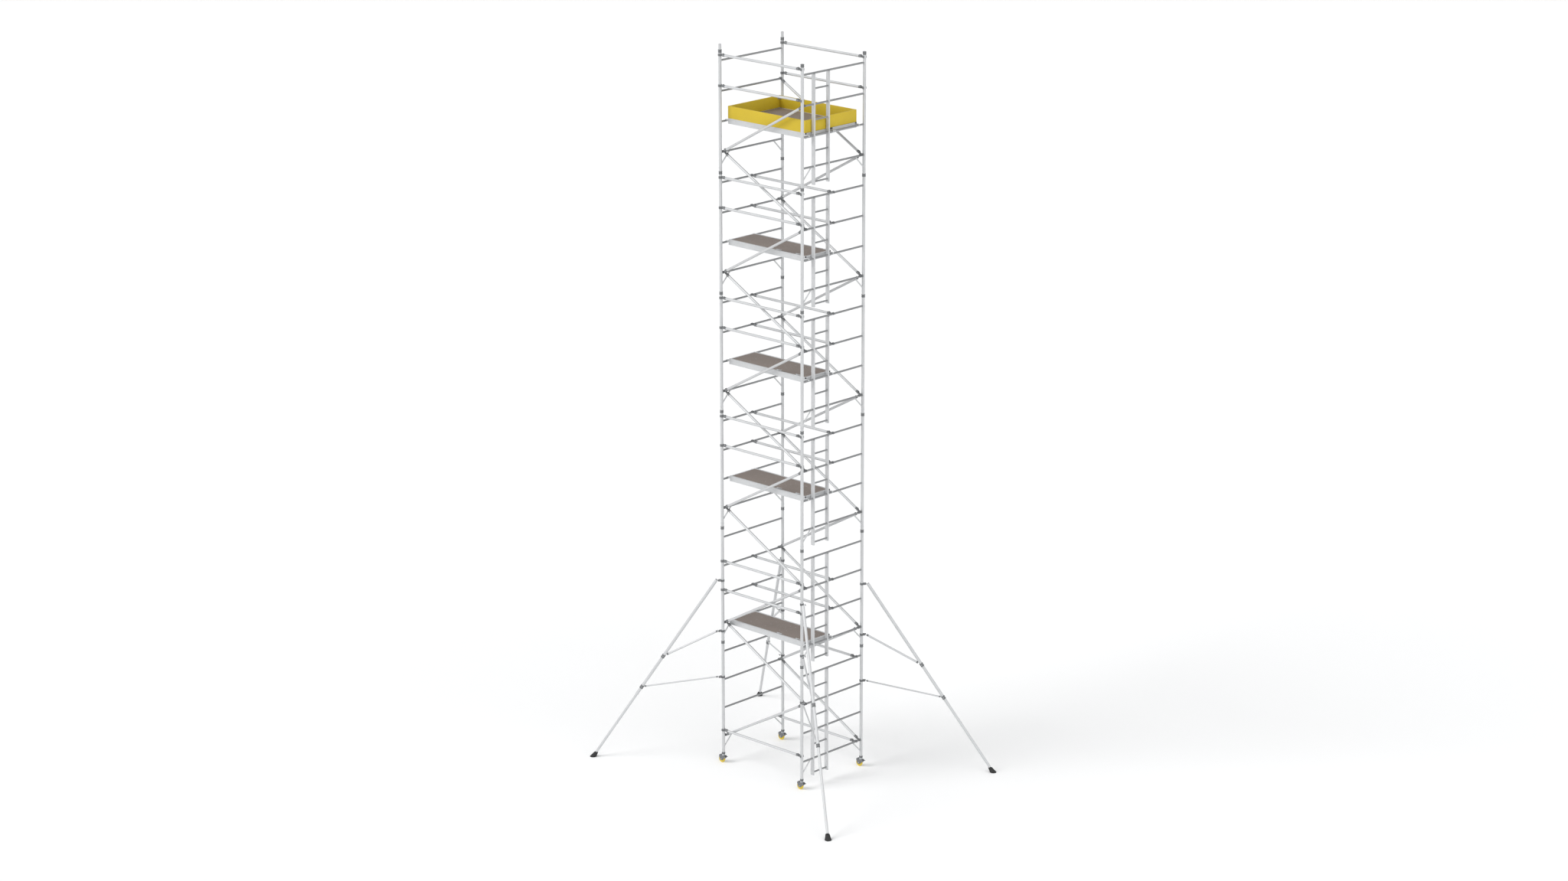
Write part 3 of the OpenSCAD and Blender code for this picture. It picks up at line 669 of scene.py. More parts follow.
def makeCollars():
    look = collarLook
    openCollar, cap, screw = collarShape(False), collarShape(True), domeShape(0.0035, 0.002)
    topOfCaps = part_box("joint_collars")[1].z
    bench = Bench("collars_and_caps")
    for column in columns:
        for lift in range(1, tower["lifts"] + 1):
            top = lift == tower["lifts"]
            bottom = topOfCaps - look["height"] if top else jointZ(lift) - look["height"] / 2
            base = Vector((column.x, column.y, bottom))
            bench.add(cap if top and column.x > 0 else openCollar, Matrix.Translation(base), casting)
            inward = Vector((-column.x, -column.y, 0)).normalized()
            for rise in look["screwRises"]:
                spot = base + inward * (look["radius"] - look["waist"])
                spot.z += look["height"] * rise
                bench.add(screw, along(spot, inward), zincSteel)
    bench.done("tower", "joint_collars", slot="grey_casting")


def makeClips():
    shape = clipShape()
    bench = Bench("interlock_clip_set")
    for column in columns:
        for lift in range(1, tower["lifts"]):
            turn = 0 if column.x > 0 else math.pi
            bench.add(shape, at(column.x, column.y, jointZ(lift) + clipLook["rise"], turn), zincSteel)
    bench.done("tower", "interlock_clips", slot="grey_casting")


makeCollars()
makeClips()
print("collars and clips made")


# Braces with their hooks and thumb levers.

braceLook = {
    "radius": 0.021, "start": 0.070, "sides": 32, "outerRow": 0.682, "innerRow": 0.640,
    "rearRow": 0.596, "baseRailZ": 0.585, "diagonals": 11,
    "frontRails": [24, 23, 20, 19, 16, 15, 12, 11, 7, 6], "rearRails": [24, 23],
    "innerRails": [20, 19, 16, 15, 12, 11, 7, 6], "rearRungRails": [4, 1],
    "hookWrap": 225, "wall": 0.002, "boltSpots": (0.078, 0.096), "boltOut": 0.0211,
}
diagonalSlope = math.atan2(2 * tower["rungPitch"], 2 * halfLength)
diagonalLength = math.hypot(2 * tower["rungPitch"], 2 * halfLength)


def railPlaces():
    # (where the rail's middle is, whether its hooks go round the columns)
    places = [(Vector((0, -halfWidth, rungZ(n) + tower["railRise"])), True) for n in braceLook["frontRails"]]
    places.append((Vector((0, -halfWidth, braceLook["baseRailZ"])), True))
    places += [(Vector((0, halfWidth, rungZ(n) + tower["railRise"])), True) for n in braceLook["rearRails"]]
    places += [(Vector((0, 0, rungZ(n))), False) for n in braceLook["innerRails"]]
    places += [(Vector((0, braceLook["rearRow"], rungZ(n))), False) for n in braceLook["rearRungRails"]]
    return places


def diagonalPlaces():
    # The lower end of each diagonal, facing its upper end along local +X.
    places = []
    for i in range(braceLook["diagonals"]):
        for side in (-1, 1):
            row = braceLook["outerRow"] if i % 2 == 0 else braceLook["innerRow"]
            risesRight = (i % 2 == 0) == (side < 0)
            middle = Matrix.Translation((0, side * row, rungZ(1 + 2 * i)))
            places.append(middle @ (stay if risesRight else flip) @ Matrix.Translation((-halfLength, 0, 0)))
    return places


def socketShape():
    outline = [
        (0, 0.0600), (0.0185, 0.0600), (0.0222, 0.0630), (0.0222, 0.0700), (0.0214, 0.0715), (0.0214, 0.1035),
        (0.0230, 0.1050), (0.0230, 0.1130), (0.0222, 0.1149), (0.0212, 0.1149), (0.0212, 0.0700), (0, 0.0700)]
    return latheShape(outline, 24, False)


def clawShape(inner, outer, width, steps):
    half, edge = width / 2, 0.003
    outline = bothHalves([(inner, -half), (outer - edge, -half), (outer, edge - half)])
    return arcShape(outline, math.radians(braceLook["hookWrap"]), steps, 0.0008)


def neckShape(start, tall, waist, width):
    outline = bothHalves([(start, -tall / 2), (start + 0.014, -waist / 2), (0.0630, -waist / 2)])
    return outlineShape(outline, width, 0.0018, 1)


def leverShape():
    # A thumb lever lying on top of the socket, higher at its heel.
    outline = [
        (0.0640, 0.0231), (0.0980, 0.0231), (0.0980, 0.0255), (0.0900, 0.0262), (0.0780, 0.0300),
        (0.0740, 0.0311), (0.0670, 0.0311), (0.0640, 0.0290)]
    lever = outlineShape(outline, 0.0098, 0.0007, 1)
    ridge = blockShape((0.0014, 0.0085, 0.0014), 0.0004, 1)
    ridges = [(ridge, at(0.0815 + 0.0035 * i, 0, 0.0285 - 0.0011 * i)) for i in range(3)]
    return joinShapes((lever, stay), *ridges)


def makeBraces():
    look = braceLook
    trim = 2 * look["start"]
    railTube = rodShape(look["radius"], 2 * halfLength - trim, look["sides"], look["wall"])
    diagonalTube = rodShape(look["radius"], diagonalLength - trim, look["sides"], look["wall"])
    rails = Bench("guardrail_tubes")
    for middle, _ in railPlaces():
        start = middle + Vector((look["start"] - halfLength, 0, 0))
        rails.add(railTube, Matrix.Translation(start) @ alongX, aluminium)
    rails.done("tower", "guardrail_braces", slot="frame_aluminium")
    slopes = Bench("diagonal_tubes")
    rise = Matrix.Rotation(-diagonalSlope, 4, "Y") @ Matrix.Translation((look["start"], 0, 0)) @ alongX
    for place in diagonalPlaces():
        slopes.add(diagonalTube, place @ rise, aluminium)
    slopes.done("tower", "diagonal_braces", slot="frame_aluminium")


def makeHooks():
    socket = socketShape()
    rungClawTurn = Matrix(((0, 1, 0, 0), (0, 0, 1, 0), (1, 0, 0, 0), (0, 0, 0, 1)))
    columnClaw = clawShape(0.0257, 0.0354, 0.040, 16)
    rungClaw = clawShape(0.0163, 0.0270, 0.034, 14)
    columnNeck = neckShape(0.0320, 0.038, 0.031, 0.026)
    rungNeck = neckShape(0.0220, 0.023, 0.022, 0.026)
    bolt = domeShape(0.0042, 0.0022, 10)
    lever = leverShape()
    levers = Bench("thumb_levers")
    column, rung, diagonal = Bench("column_hooks"), Bench("rung_hooks"), Bench("diagonal_hooks")

    def addEnd(bench, place, tilt, roundColumn):
        lean = place @ Matrix.Rotation(-tilt, 4, "Y")
        if roundColumn:
            bench.add(columnClaw, place, casting)
            bench.add(columnNeck, lean, casting)
        else:
            bench.add(rungClaw, place @ rungClawTurn, casting)
            bench.add(rungNeck, lean, casting)
        bench.add(socket, lean @ alongX, casting)
        for side in (-1, 1):
            for x in braceLook["boltSpots"]:
                spot = (x, side * braceLook["boltOut"], 0)
                bench.add(bolt, lean @ along(spot, (0, side, 0)), zincSteel)
        levers.add(lever, lean, leverGrey)

    for middle, roundColumn in railPlaces():
        for turn in (stay, flip):
            place = Matrix.Translation(middle) @ turn @ Matrix.Translation((-halfLength, 0, 0))
            addEnd(column if roundColumn else rung, place, 0, roundColumn)
    for place in diagonalPlaces():
        addEnd(diagonal, place, diagonalSlope, False)
        upper = place @ Matrix.Translation((2 * halfLength, 0, 2 * tower["rungPitch"])) @ flip
        addEnd(diagonal, upper, -diagonalSlope, False)
    for bench in (column, rung, diagonal):
        bench.done("tower", "brace_hooks", slot="grey_casting")
    levers.done("tower", "brace_triggers", slot="grey_casting")


makeBraces()
makeHooks()
print("braces and hooks made")


# Platforms, with their decks and hatches.

deckLook = {
    "x0": -0.846, "x1": 0.846, "width": 0.600, "firstY": -0.602, "secondY": 0.002,
    "beamWidth": 0.030, "beamHeight": 0.090, "drop": 0.042, "rise": 0.045, "board": 0.012,
    "endWidth": 0.028, "bearerWidth": 0.026, "bearers": [-0.540, -0.210, 0.112, 0.747],
    "hookWidth": 0.028, "hookInset": 0.015, "gap": 0.0001,
    "hatchX0": 0.140, "hatchX1": 0.745, "hatchY0": -0.556, "hatchY1": -0.082, "hatchGap": 0.002,
    "hingeInset": 0.090, "hingeRadius": 0.006, "knuckle": 0.050, "leafWidth": 0.0155,
    "rivetInset": 0.018, "rivetMargin": 0.008, "rivetsPerRow": 5,
    "holeLength": 0.110, "holeNear": 0.043, "holeFar": 0.075, "battenWidth": 0.040, "battenHeight": 0.020,
    "battenInset": 0.080,
}


def hookYs(y0):
    return [y0 + deckLook["hookInset"], y0 + deckLook["width"] - deckLook["hookInset"]]


beamLook = {"recess": 0.003, "foot": 0.009, "lip": 0.022, "rivetRises": (0.022, 0.055)}


def beamShape(width, height, length):
    # An extruded beam along Y. Its sides are recessed under a deep upper lip, with a rib along the middle.
    w, c, r = width / 2, 0.0018, beamLook["recess"]
    foot, lip = beamLook["foot"], height - beamLook["lip"]
    half = [
        (w - c, 0), (w, c), (w, foot), (w - r, foot + r), (w - r, height * 0.38), (w - r / 2, height * 0.4),
        (w - r / 2, height * 0.46), (w - r, height * 0.48), (w - r, lip - r), (w, lip),
        (w, height - c), (w - c, height)]
    outline = half + [(-x, z) for x, z in reversed(half)]
    return hollow(outlineShape(outline, length), length, 0.0025)


def bearerShape(width, height, length):
    w, c = width / 2, 0.002
    half = [(w - c, 0), (w, c), (w, height - c), (w - c, height)]
    return outlineShape(half + [(-x, z) for x, z in reversed(half)], length)


def hollow(shape, length, wall):
    # Sinks the two end caps so that the section reads as a tube.
    bm = bmesh.new()
    bm.from_mesh(shape)
    for face in [face for face in bm.faces if len(face.verts) > 8]:
        side = 1 if face.calc_center_median().y > 0 else -1
        bmesh.ops.inset_region(bm, faces=[face], thickness=wall, use_even_offset=True)
        bmesh.ops.translate(bm, verts=face.verts, vec=(0, -side * min(0.05, length / 4), 0))
    return keepShape(bm)


def platformHookShape():
    # Hooks over the rung at the origin and reaches back along -X to the end beam.
    outer, inner, foot = 0.024, 0.0164, -0.004
    reach = halfLength - deckLook["x1"] - deckLook["gap"]

    def arc(radius, first, last, count=9):
        steps = [first + (last - first) * i / (count - 1) for i in range(count)]
        return [(radius * math.cos(a), radius * math.sin(a)) for a in steps]

    low = math.asin(foot / outer)
    lowIn = math.asin(foot / inner)
    shelf = math.asin(0.004 / outer)
    outline = arc(outer, low, math.pi / 2) + [(-reach, outer), (-reach, 0.004)]
    outline += arc(outer, math.pi - shelf, math.pi - low, 3) + arc(inner, math.pi - lowIn, lowIn, 15)
    return outlineShape(outline, deckLook["hookWidth"], 0.0012, 1)


def addPlatform(bench, y0, z, shapes):
    look = deckLook
    gap, beamW = look["gap"], look["beamWidth"]
    middleX = (look["x0"] + look["x1"]) / 2
    for y in (y0 + beamW / 2, y0 + look["width"] - beamW / 2):
        bench.add(shapes["beam"], at(middleX, y, z - look["drop"], math.pi / 2), aluminium)
        for x in (look["x0"] + look["endWidth"] / 2, look["x1"] - look["endWidth"] / 2):
            for rise in beamLook["rivetRises"]:
                for side in (-1, 1):
                    spot = (x, y + side * (beamW / 2 - beamLook["recess"]), z - look["drop"] + rise)
                    bench.add(shapes["rivet"], along(spot, (0, side, 0)), zincSteel)
    middleY = y0 + look["width"] / 2
    for x in (look["x0"] + look["endWidth"] / 2, look["x1"] - look["endWidth"] / 2):
        bench.add(shapes["end"], at(x, middleY, z - look["drop"]), aluminium)
    for x in look["bearers"]:
        bench.add(shapes["bearer"], at(x + look["bearerWidth"] / 2, middleY, z - look["drop"] / 2), aluminium)
    for y in hookYs(y0):
        bench.add(shapes["hook"], at(halfLength, y, z), aluminium)
        bench.add(shapes["hook"], at(-halfLength, y, z, math.pi), aluminium)
        for x in (look["x0"] + 0.014, look["x1"] - 0.014):
            bench.add(shapes["bolt"], at(x, y, z + look["beamHeight"] - look["drop"] - 0.0027), zincSteel)


def makePlatforms():
    look = deckLook
    clear = look["width"] - 2 * look["beamWidth"] - 2 * look["gap"]
    bearerHeight = look["drop"] / 2 + look["rise"] - look["board"] - look["gap"]
    shapes = {
        "beam": beamShape(look["beamWidth"], look["beamHeight"], look["x1"] - look["x0"]),
        "end": beamShape(look["endWidth"], look["drop"] + look["rise"], clear),
        "bearer": bearerShape(look["bearerWidth"], bearerHeight, clear),
        "hook": platformHookShape(),
        "rivet": domeShape(0.0042, 0.0013, 10),
        "bolt": domeShape(0.006, 0.0025, 12),
    }
    single = Bench("platform_frame_set")
    for z in levelZ[:-1]:
        addPlatform(single, look["firstY"], z, shapes)
    single.done("tower", "platform_frames", slot="frame_aluminium")
    top = Bench("top_platform_frame_set")
    for y0 in (look["firstY"], look["secondY"]):
        addPlatform(top, y0, levelZ[-1], shapes)
    top.done("tower", "top_platform_frames", slot="frame_aluminium")


def boardShape(outside, hole, edge, holeCorner=0.0):
    # A board with its top at Z = 0. The outside and the hole are (x0, y0, x1, y1).
    bm = bmesh.new()

    def corners(x0, y0, x1, y1):
        return [bm.verts.new((x, y, 0)) for x, y in ((x0, y0), (x1, y0), (x1, y1), (x0, y1))]

    outer = corners(*outside)
    if hole:
        inner = corners(*hole)
        for i in range(4):
            bm.faces.new((outer[i], outer[(i + 1) % 4], inner[(i + 1) % 4], inner[i]))
    else:
        bm.faces.new(outer)
    pushed = bmesh.ops.extrude_face_region(bm, geom=list(bm.faces), use_keep_orig=True)
    lower = [item for item in pushed["geom"] if isinstance(item, bmesh.types.BMVert)]
    bmesh.ops.translate(bm, verts=lower, vec=(0, 0, -deckLook["board"]))
    bmesh.ops.recalc_face_normals(bm, faces=bm.faces)
    if holeCorner:
        uprights = [item for item in bm.edges if item.verts[0].co.z != item.verts[1].co.z]
        around = [item for item in uprights if item.verts[0] in inner or item.verts[1] in inner]
        soften(bm, around, holeCorner, 5)
    sharp = [item for item in bm.edges if item.calc_face_angle() > 1]
    soften(bm, sharp, edge)
    return keepShape(bm)


def deckShape(y0, withHatch):
    look = deckLook
    sideIn, endIn = look["beamWidth"] + look["gap"], look["endWidth"] + look["gap"]
    outside = (look["x0"] + endIn, y0 + sideIn, look["x1"] - endIn, y0 + look["width"] - sideIn)
    hatch = (look["hatchX0"], look["hatchY0"], look["hatchX1"], look["hatchY1"])
    return boardShape(outside, hatch if withHatch else None, 0.0012)


def makeDecks():
    look = deckLook
    bench = Bench("deck_panels")
    rivet = domeShape(0.0055, 0.0012, 12)
    boards = [(look["firstY"], z, True) for z in levelZ] + [(look["secondY"], levelZ[-1], False)]
    hatched, plain = deckShape(look["firstY"], True), deckShape(look["secondY"], False)
    for y0, z, withHatch in boards:
        bench.add(hatched if withHatch else plain, at(0, 0, z + look["rise"]), deckFilm)
        inset = look["endWidth"] + look["rivetInset"]
        rows = [look["x0"] + inset, look["x1"] - inset]
        rows += [x + look["bearerWidth"] / 2 for x in look["bearers"]]
        for x in rows:
            for k in range(look["rivetsPerRow"]):
                margin = look["beamWidth"] + look["rivetMargin"]
                y = y0 + margin + k * (look["width"] - 2 * margin) / (look["rivetsPerRow"] - 1)
                inHatch = look["hatchX0"] < x < look["hatchX1"] and look["hatchY0"] < y < look["hatchY1"]
                if not (withHatch and inHatch):
                    bench.add(rivet, at(x, y, z + look["rise"] - 0.0001), zincSteel)
    bench.done("tower", "deck_boards", slot="deck_plywood")


def hingePlaces():
    look = deckLook
    return [look["hatchX0"] + look["hingeInset"], look["hatchX1"] - look["hingeInset"]]


def makeHinges():
    look = deckLook
    length = look["knuckle"] - 0.0005
    knuckle = rodShape(look["hingeRadius"], length, 20, chamfer=0.0006)
    pinEnd = domeShape(0.0035, 0.002, 12)
    leaf = blockShape((length, look["leafWidth"], 0.0019), 0.0004, 1)
    screw = domeShape(0.003, 0.0009, 10)
    bench = Bench("hatch_hinge_set")
    for number in range(1, 6):
        pivot = Vector(joints[f"trapdoor_{number}_hinge"]["pos_m"])
        base = levelZ[number - 1] + look["rise"]
        for x in hingePlaces():
            start = Vector((x - look["knuckle"], pivot.y, pivot.z))
            bench.add(knuckle, Matrix.Translation(start) @ alongX, zincSteel)
            bench.add(pinEnd, along(start, (-1, 0, 0)), zincSteel)
            middle = x - look["knuckle"] / 2
            bench.add(leaf, at(middle, pivot.y - look["leafWidth"] / 2, base + 0.00095), zincSteel)
            for step in (-0.015, 0.015):
                bench.add(screw, at(middle + step, pivot.y - 0.0105, base + 0.0019), casting)
    bench.done("tower", "hatch_hinges", slot="grey_casting")


def panelShape():
    # The hatch's board, with a hand hole near its free side.
    look = deckLook
    gap = look["hatchGap"]
    middle, reach = (look["hatchX0"] + look["hatchX1"]) / 2, look["holeLength"] / 2
    outside = (look["hatchX0"] + gap, look["hatchY0"] + gap, look["hatchX1"] - gap, look["hatchY1"] - gap)
    far, near = look["hatchY1"] - look["holeFar"], look["hatchY1"] - look["holeNear"]
    hole = (middle - reach, far, middle + reach, near)
    return boardShape(outside, hole, 0.001, 0.014)


def makeTrapdoors():
    look = deckLook
    panel = panelShape()
    battenLength = look["hatchY1"] - look["hatchY0"] - look["battenInset"]
    batten = blockShape((look["battenWidth"], battenLength, look["battenHeight"]), 0.002, 1)
    knuckle = rodShape(look["hingeRadius"], look["knuckle"], 20, chamfer=0.0006)
    leaf = blockShape((look["knuckle"] - 0.0006, 0.0235, 0.0022), 0.0005, 1)
    pinEnd = domeShape(0.0035, 0.002, 12)
    screw = domeShape(0.0035, 0.0009, 10)
    rivet = domeShape(0.0055, 0.0012, 12)
    for number in range(1, 6):
        pivot = Vector(joints[f"trapdoor_{number}_hinge"]["pos_m"])
        top = levelZ[number - 1] + look["rise"]
        bench = Bench(f"hatch_panel_{number}")
        bench.add(panel, at(0, 0, top), deckFilm)
        for x in (look["hatchX0"] + look["battenInset"], look["hatchX1"] - look["battenInset"]):
            middleY = (look["hatchY0"] + look["hatchY1"]) / 2
            bench.add(batten, at(x, middleY, top - look["board"] - look["battenHeight"] / 2), aluminium)
            for step in (-0.42, -0.14, 0.14, 0.42):
                bench.add(rivet, at(x, middleY + step * battenLength, top - 0.0001), zincSteel)
        for x in hingePlaces():
            start = Vector((x, pivot.y, pivot.z))
            bench.add(knuckle, Matrix.Translation(start) @ alongX, zincSteel)
            bench.add(pinEnd, along(start + Vector((look["knuckle"], 0, 0)), (1, 0, 0)), zincSteel)
            bench.add(leaf, at(x + look["knuckle"] / 2, pivot.y + 0.012, top + 0.0013), zincSteel)
            for step in (-0.015, 0.015):
                bench.add(screw, at(x + look["knuckle"] / 2 + step, pivot.y + 0.017, top + 0.0024), casting)
        bench.done(f"trapdoor_{number}", f"trapdoor_{number}", slot="deck_plywood")


makePlatforms()
makeDecks()
makeHinges()
makeTrapdoors()
print("platforms made")


# Toe boards and windlocks.

toeLook = {
    "y": 0.602, "thickness": 0.022, "height": 0.200, "bevel": 0.0022,
    "clipDrop": 0.060, "clipArm": 0.050, "clipHeight": 0.040,
}


def makeToeBoards():
    # They stand on the side beams and run round both top platforms.
    look = toeLook
    base = levelZ[-1] + deckLook["beamHeight"] - deckLook["drop"] + deckLook["gap"]
    x0, x1, t = deckLook["x0"], deckLook["x1"], look["thickness"]
    bench = Bench("yellow_toe_boards")
    side = blockShape((x1 - x0, t, look["height"]), look["bevel"])
    cross = blockShape((t, 2 * (look["y"] - t - deckLook["gap"]), look["height"]), look["bevel"])
    for y in (-look["y"] + t / 2, look["y"] - t / 2):
        bench.add(side, at((x0 + x1) / 2, y, base + look["height"] / 2), yellowPaint)
    for x in (x0 + t / 2, x1 - t / 2):
        bench.add(cross, at(x, 0, base + look["height"] / 2), yellowPaint)
    bench.done("tower", "toe_boards", slot="toe_board_yellow")
    clips = Bench("toe_board_brackets")
    arm, height = look["clipArm"], look["clipHeight"]
    plate = blockShape((arm, 0.003, height), 0.0008, 1)
    bolt = domeShape(0.0055, 0.0026, 12)
    z = base + look["height"] - look["clipDrop"] + height / 2
    for sx, x in ((1, x0 + t), (-1, x1 - t)):
        for sy in (-1, 1):
            y = sy * (look["y"] - t)
            clips.add(plate, at(x + sx * (arm / 2), y - sy * 0.0017, z), zincSteel)
            clips.add(plate, at(x + sx * 0.0017, y - sy * (arm / 2), z, math.pi / 2), zincSteel)
            for step in (0.018, 0.038):
                clips.add(bolt, along((x + sx * step, y - sy * 0.0031, z), (0, -sy, 0)), casting)
                clips.add(bolt, along((x + sx * 0.0031, y - sy * step, z), (sx, 0, 0)), casting)
    clips.done("tower", "toe_board_clips", slot="grey_casting")


windlockLook = {
    "width": 0.024, "depth": 0.005, "height": 0.020, "rise": 0.035,
    "padWidth": 0.012, "padHeight": 0.008, "padOut": 0.004,
}


def makeWindlocks():
    # A black catch on the end of each side beam, with a ridged thumb pad.
    look = windlockLook
    catch = blockShape((look["depth"], look["width"], look["height"]), 0.0012, 2)
    pad = blockShape((look["padOut"], look["padWidth"], look["padHeight"]), 0.001, 2)
    ridge = blockShape((0.0012, look["width"] * 0.8, 0.0012), 0.0003, 1)
    start = deckLook["x1"] + deckLook["gap"]
    front = start + look["depth"]
    bench = Bench("windlock_set")
    for level, y0 in [(z, deckLook["firstY"]) for z in levelZ] + [(levelZ[-1], deckLook["secondY"])]:
        z = level + look["rise"]
        for y in hookYs(y0):
            bench.add(catch, at(start + look["depth"] / 2, y, z), blackPlastic)
            bench.add(pad, at(front - 0.001 + look["padOut"] / 2, y, z), blackPlastic)
            for step in (-0.007, 0.007):
                bench.add(ridge, at(front, y, z + step), blackPlastic)
    bench.done("tower", "windlocks", slot="trigger_plastic")


makeToeBoards()
makeWindlocks()
print("toe boards and windlocks made")


# Adjustable legs and castors.

legLook = {
    "radius": 0.019, "bore": 0.01305, "bottom": 0.149, "top": 0.640, "flange": 0.006, "pitch": 0.006,
    "threadDepth": 0.0014, "nutRadius": 0.030, "nutHeight": 0.034, "flutes": 12,
}
castorLook = {
    "trail": 0.032, "wheelRadius": 0.0625, "wheelWidth": 0.036, "cheek": 0.005, "cheekGap": 0.0025,
    "plateTop": 0.131, "plateThickness": 0.004, "front": 0.046, "back": 0.044, "headRadius": 0.028,
    "stemRadius": 0.013, "stemHeight": 0.115, "axleRadius": 0.006, "brakePinRadius": 0.003,
    "rimBolts": 6, "rimBoltRing": 0.029, "brakeWidth": 0.034,
}


def threadShape(bottom, top):
    # A trapezoidal thread: a toothed outline turned once while it climbs by one pitch.
    look = legLook
    pitch, deep, r = look["pitch"], look["threadDepth"], look["radius"]
    turns = int((top - bottom) / pitch) - 1
    outline = []
    for i in range(turns):
        z = bottom + i * pitch
        outline += [(r - deep, z), (r - deep, z + pitch * 0.3), (r, z + pitch * 0.5), (r, z + pitch * 0.8)]
    outline.append((r - deep, bottom + turns * pitch))
    bm = bmesh.new()
    verts = [bm.verts.new((radius, 0, z)) for radius, z in outline]
    edges = [bm.edges.new(pair) for pair in zip(verts, verts[1:])]
    steps = 20
    bmesh.ops.spin(bm, geom=verts + edges, cent=(0, 0, 0), axis=(0, 0, 1), angle=math.tau, steps=steps)
    half = len(verts)
    bm.verts.ensure_lookup_table()
    for index, vert in enumerate(bm.verts):
        vert.co.z += pitch * (index // half) / steps
    bmesh.ops.remove_doubles(bm, verts=bm.verts, dist=1e-5)
    bmesh.ops.recalc_face_normals(bm, faces=bm.faces)
    return keepShape(bm)


def nutShape():
    look = legLook
    r, h, inner = look["nutRadius"], look["nutHeight"], look["radius"] + 0.0004
    outline = [
        (inner, 0), (r - 0.003, 0), (r, 0.003), (r, h - 0.008), (r - 0.003, h - 0.005), (r - 0.003, h),
        (inner, h)]
    steps = look["flutes"] * 6
    bm = bmesh.new()
    bm.from_mesh(latheShape(outline, steps))
    for vert in bm.verts:
        turn = round(math.atan2(vert.co.y, vert.co.x) / math.tau * steps)
        if turn % 6 in (0, 1) and vert.co.xy.length > r - 0.0035:
            vert.co.xy *= 0.9
    return keepShape(bm)


def cheekShape():
    look = castorLook
    t, top = look["trail"], look["plateTop"]
    outline = [
        (look["front"], top), (-t - look["back"], top),
        (-t - 0.052, 0.108), (-t - 0.030, 0.052), (-t - 0.014, 0.0405),
        (-t, 0.038), (-t + 0.026, 0.044), (0.038, 0.084), (0.056, 0.100), (0.056, 0.118)]
    shape = outlineShape(outline, look["cheek"], 0.0012, 2)
    bm = bmesh.new()
    bm.from_mesh(shape)
    wide = [face for face in bm.faces if abs(face.normal.y) > 0.99 and face.calc_area() > 0.004]
    for face in wide:
        bmesh.ops.inset_region(bm, faces=[face], thickness=0.007, use_even_offset=True)
        side = 1 if face.calc_center_median().y > 0 else -1
        bmesh.ops.inset_region(bm, faces=[face], thickness=0.0012, use_even_offset=True)
        bmesh.ops.translate(bm, verts=face.verts, vec=(0, -side * 0.0011, 0))
    return keepShape(bm)


def wheelShape():
    look = castorLook
    R, w = look["wheelRadius"], look["wheelWidth"] / 2
    half = [
        (look["axleRadius"] + 0.0001, w), (0.017, w), (0.018, w - 0.001), (0.020, w - 0.006),
        (0.038, w - 0.0075), (0.043, w - 0.002), (0.0465, w - 0.001), (0.0475, w - 0.0022),
        (0.0485, w - 0.001), (0.0575, w - 0.001), (R - 0.0012, w - 0.005), (R, w - 0.009)]
    return latheShape(bothHalves(half), 56)


def makeLegs():
    look = legLook
    thread = threadShape(look["bottom"] + 0.012, look["top"] - 0.006)
    nut = nutShape()
    r, bore = look["radius"], look["bore"]
    flange = latheShape([
        (bore, 0), (r + 0.006, 0), (r + 0.007, 0.001), (r + 0.007, 0.005), (r + 0.006, look["flange"]),
        (r - 0.0008, look["flange"]), (r - 0.0008, 0.018), (bore, 0.018)], 40)
    nuts = Bench("leg_nut_set")
    for i, column in enumerate(columns, 1):
        bench = Bench(f"threaded_leg_{i}")
        bench.add(thread, at(column.x, column.y, 0), zincSteel)
        bench.add(flange, at(column.x, column.y, look["bottom"]), zincSteel)
        start, end = (column.x, column.y, look["top"] - 0.012), (column.x, column.y, look["top"])
        bench.rod(start, end, r - 0.0008, zincSteel, wall=0.005, chamfer=0.001)
        bench.done(f"leg_{i}", f"leg_{i}", slot="frame_aluminium")
        nuts.add(nut, at(column.x, column.y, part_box("leg_nuts")[0].z), casting)
    nuts.done("tower", "leg_nuts", slot="grey_casting")


def headShape():
    # The swivel head, with the stem that turns in the leg.
    look = castorLook
    r, stem, height = look["headRadius"], look["stemRadius"], look["stemHeight"]
    return latheShape([
        (0, 0), (r, 0), (r, 0.005), (0.0262, 0.0062), (0.0262, 0.0085), (r - 0.0005, 0.010),
        (0.0265, 0.0145), (0.022, 0.017), (stem, 0.017), (stem, height), (0, height)], 40, False)


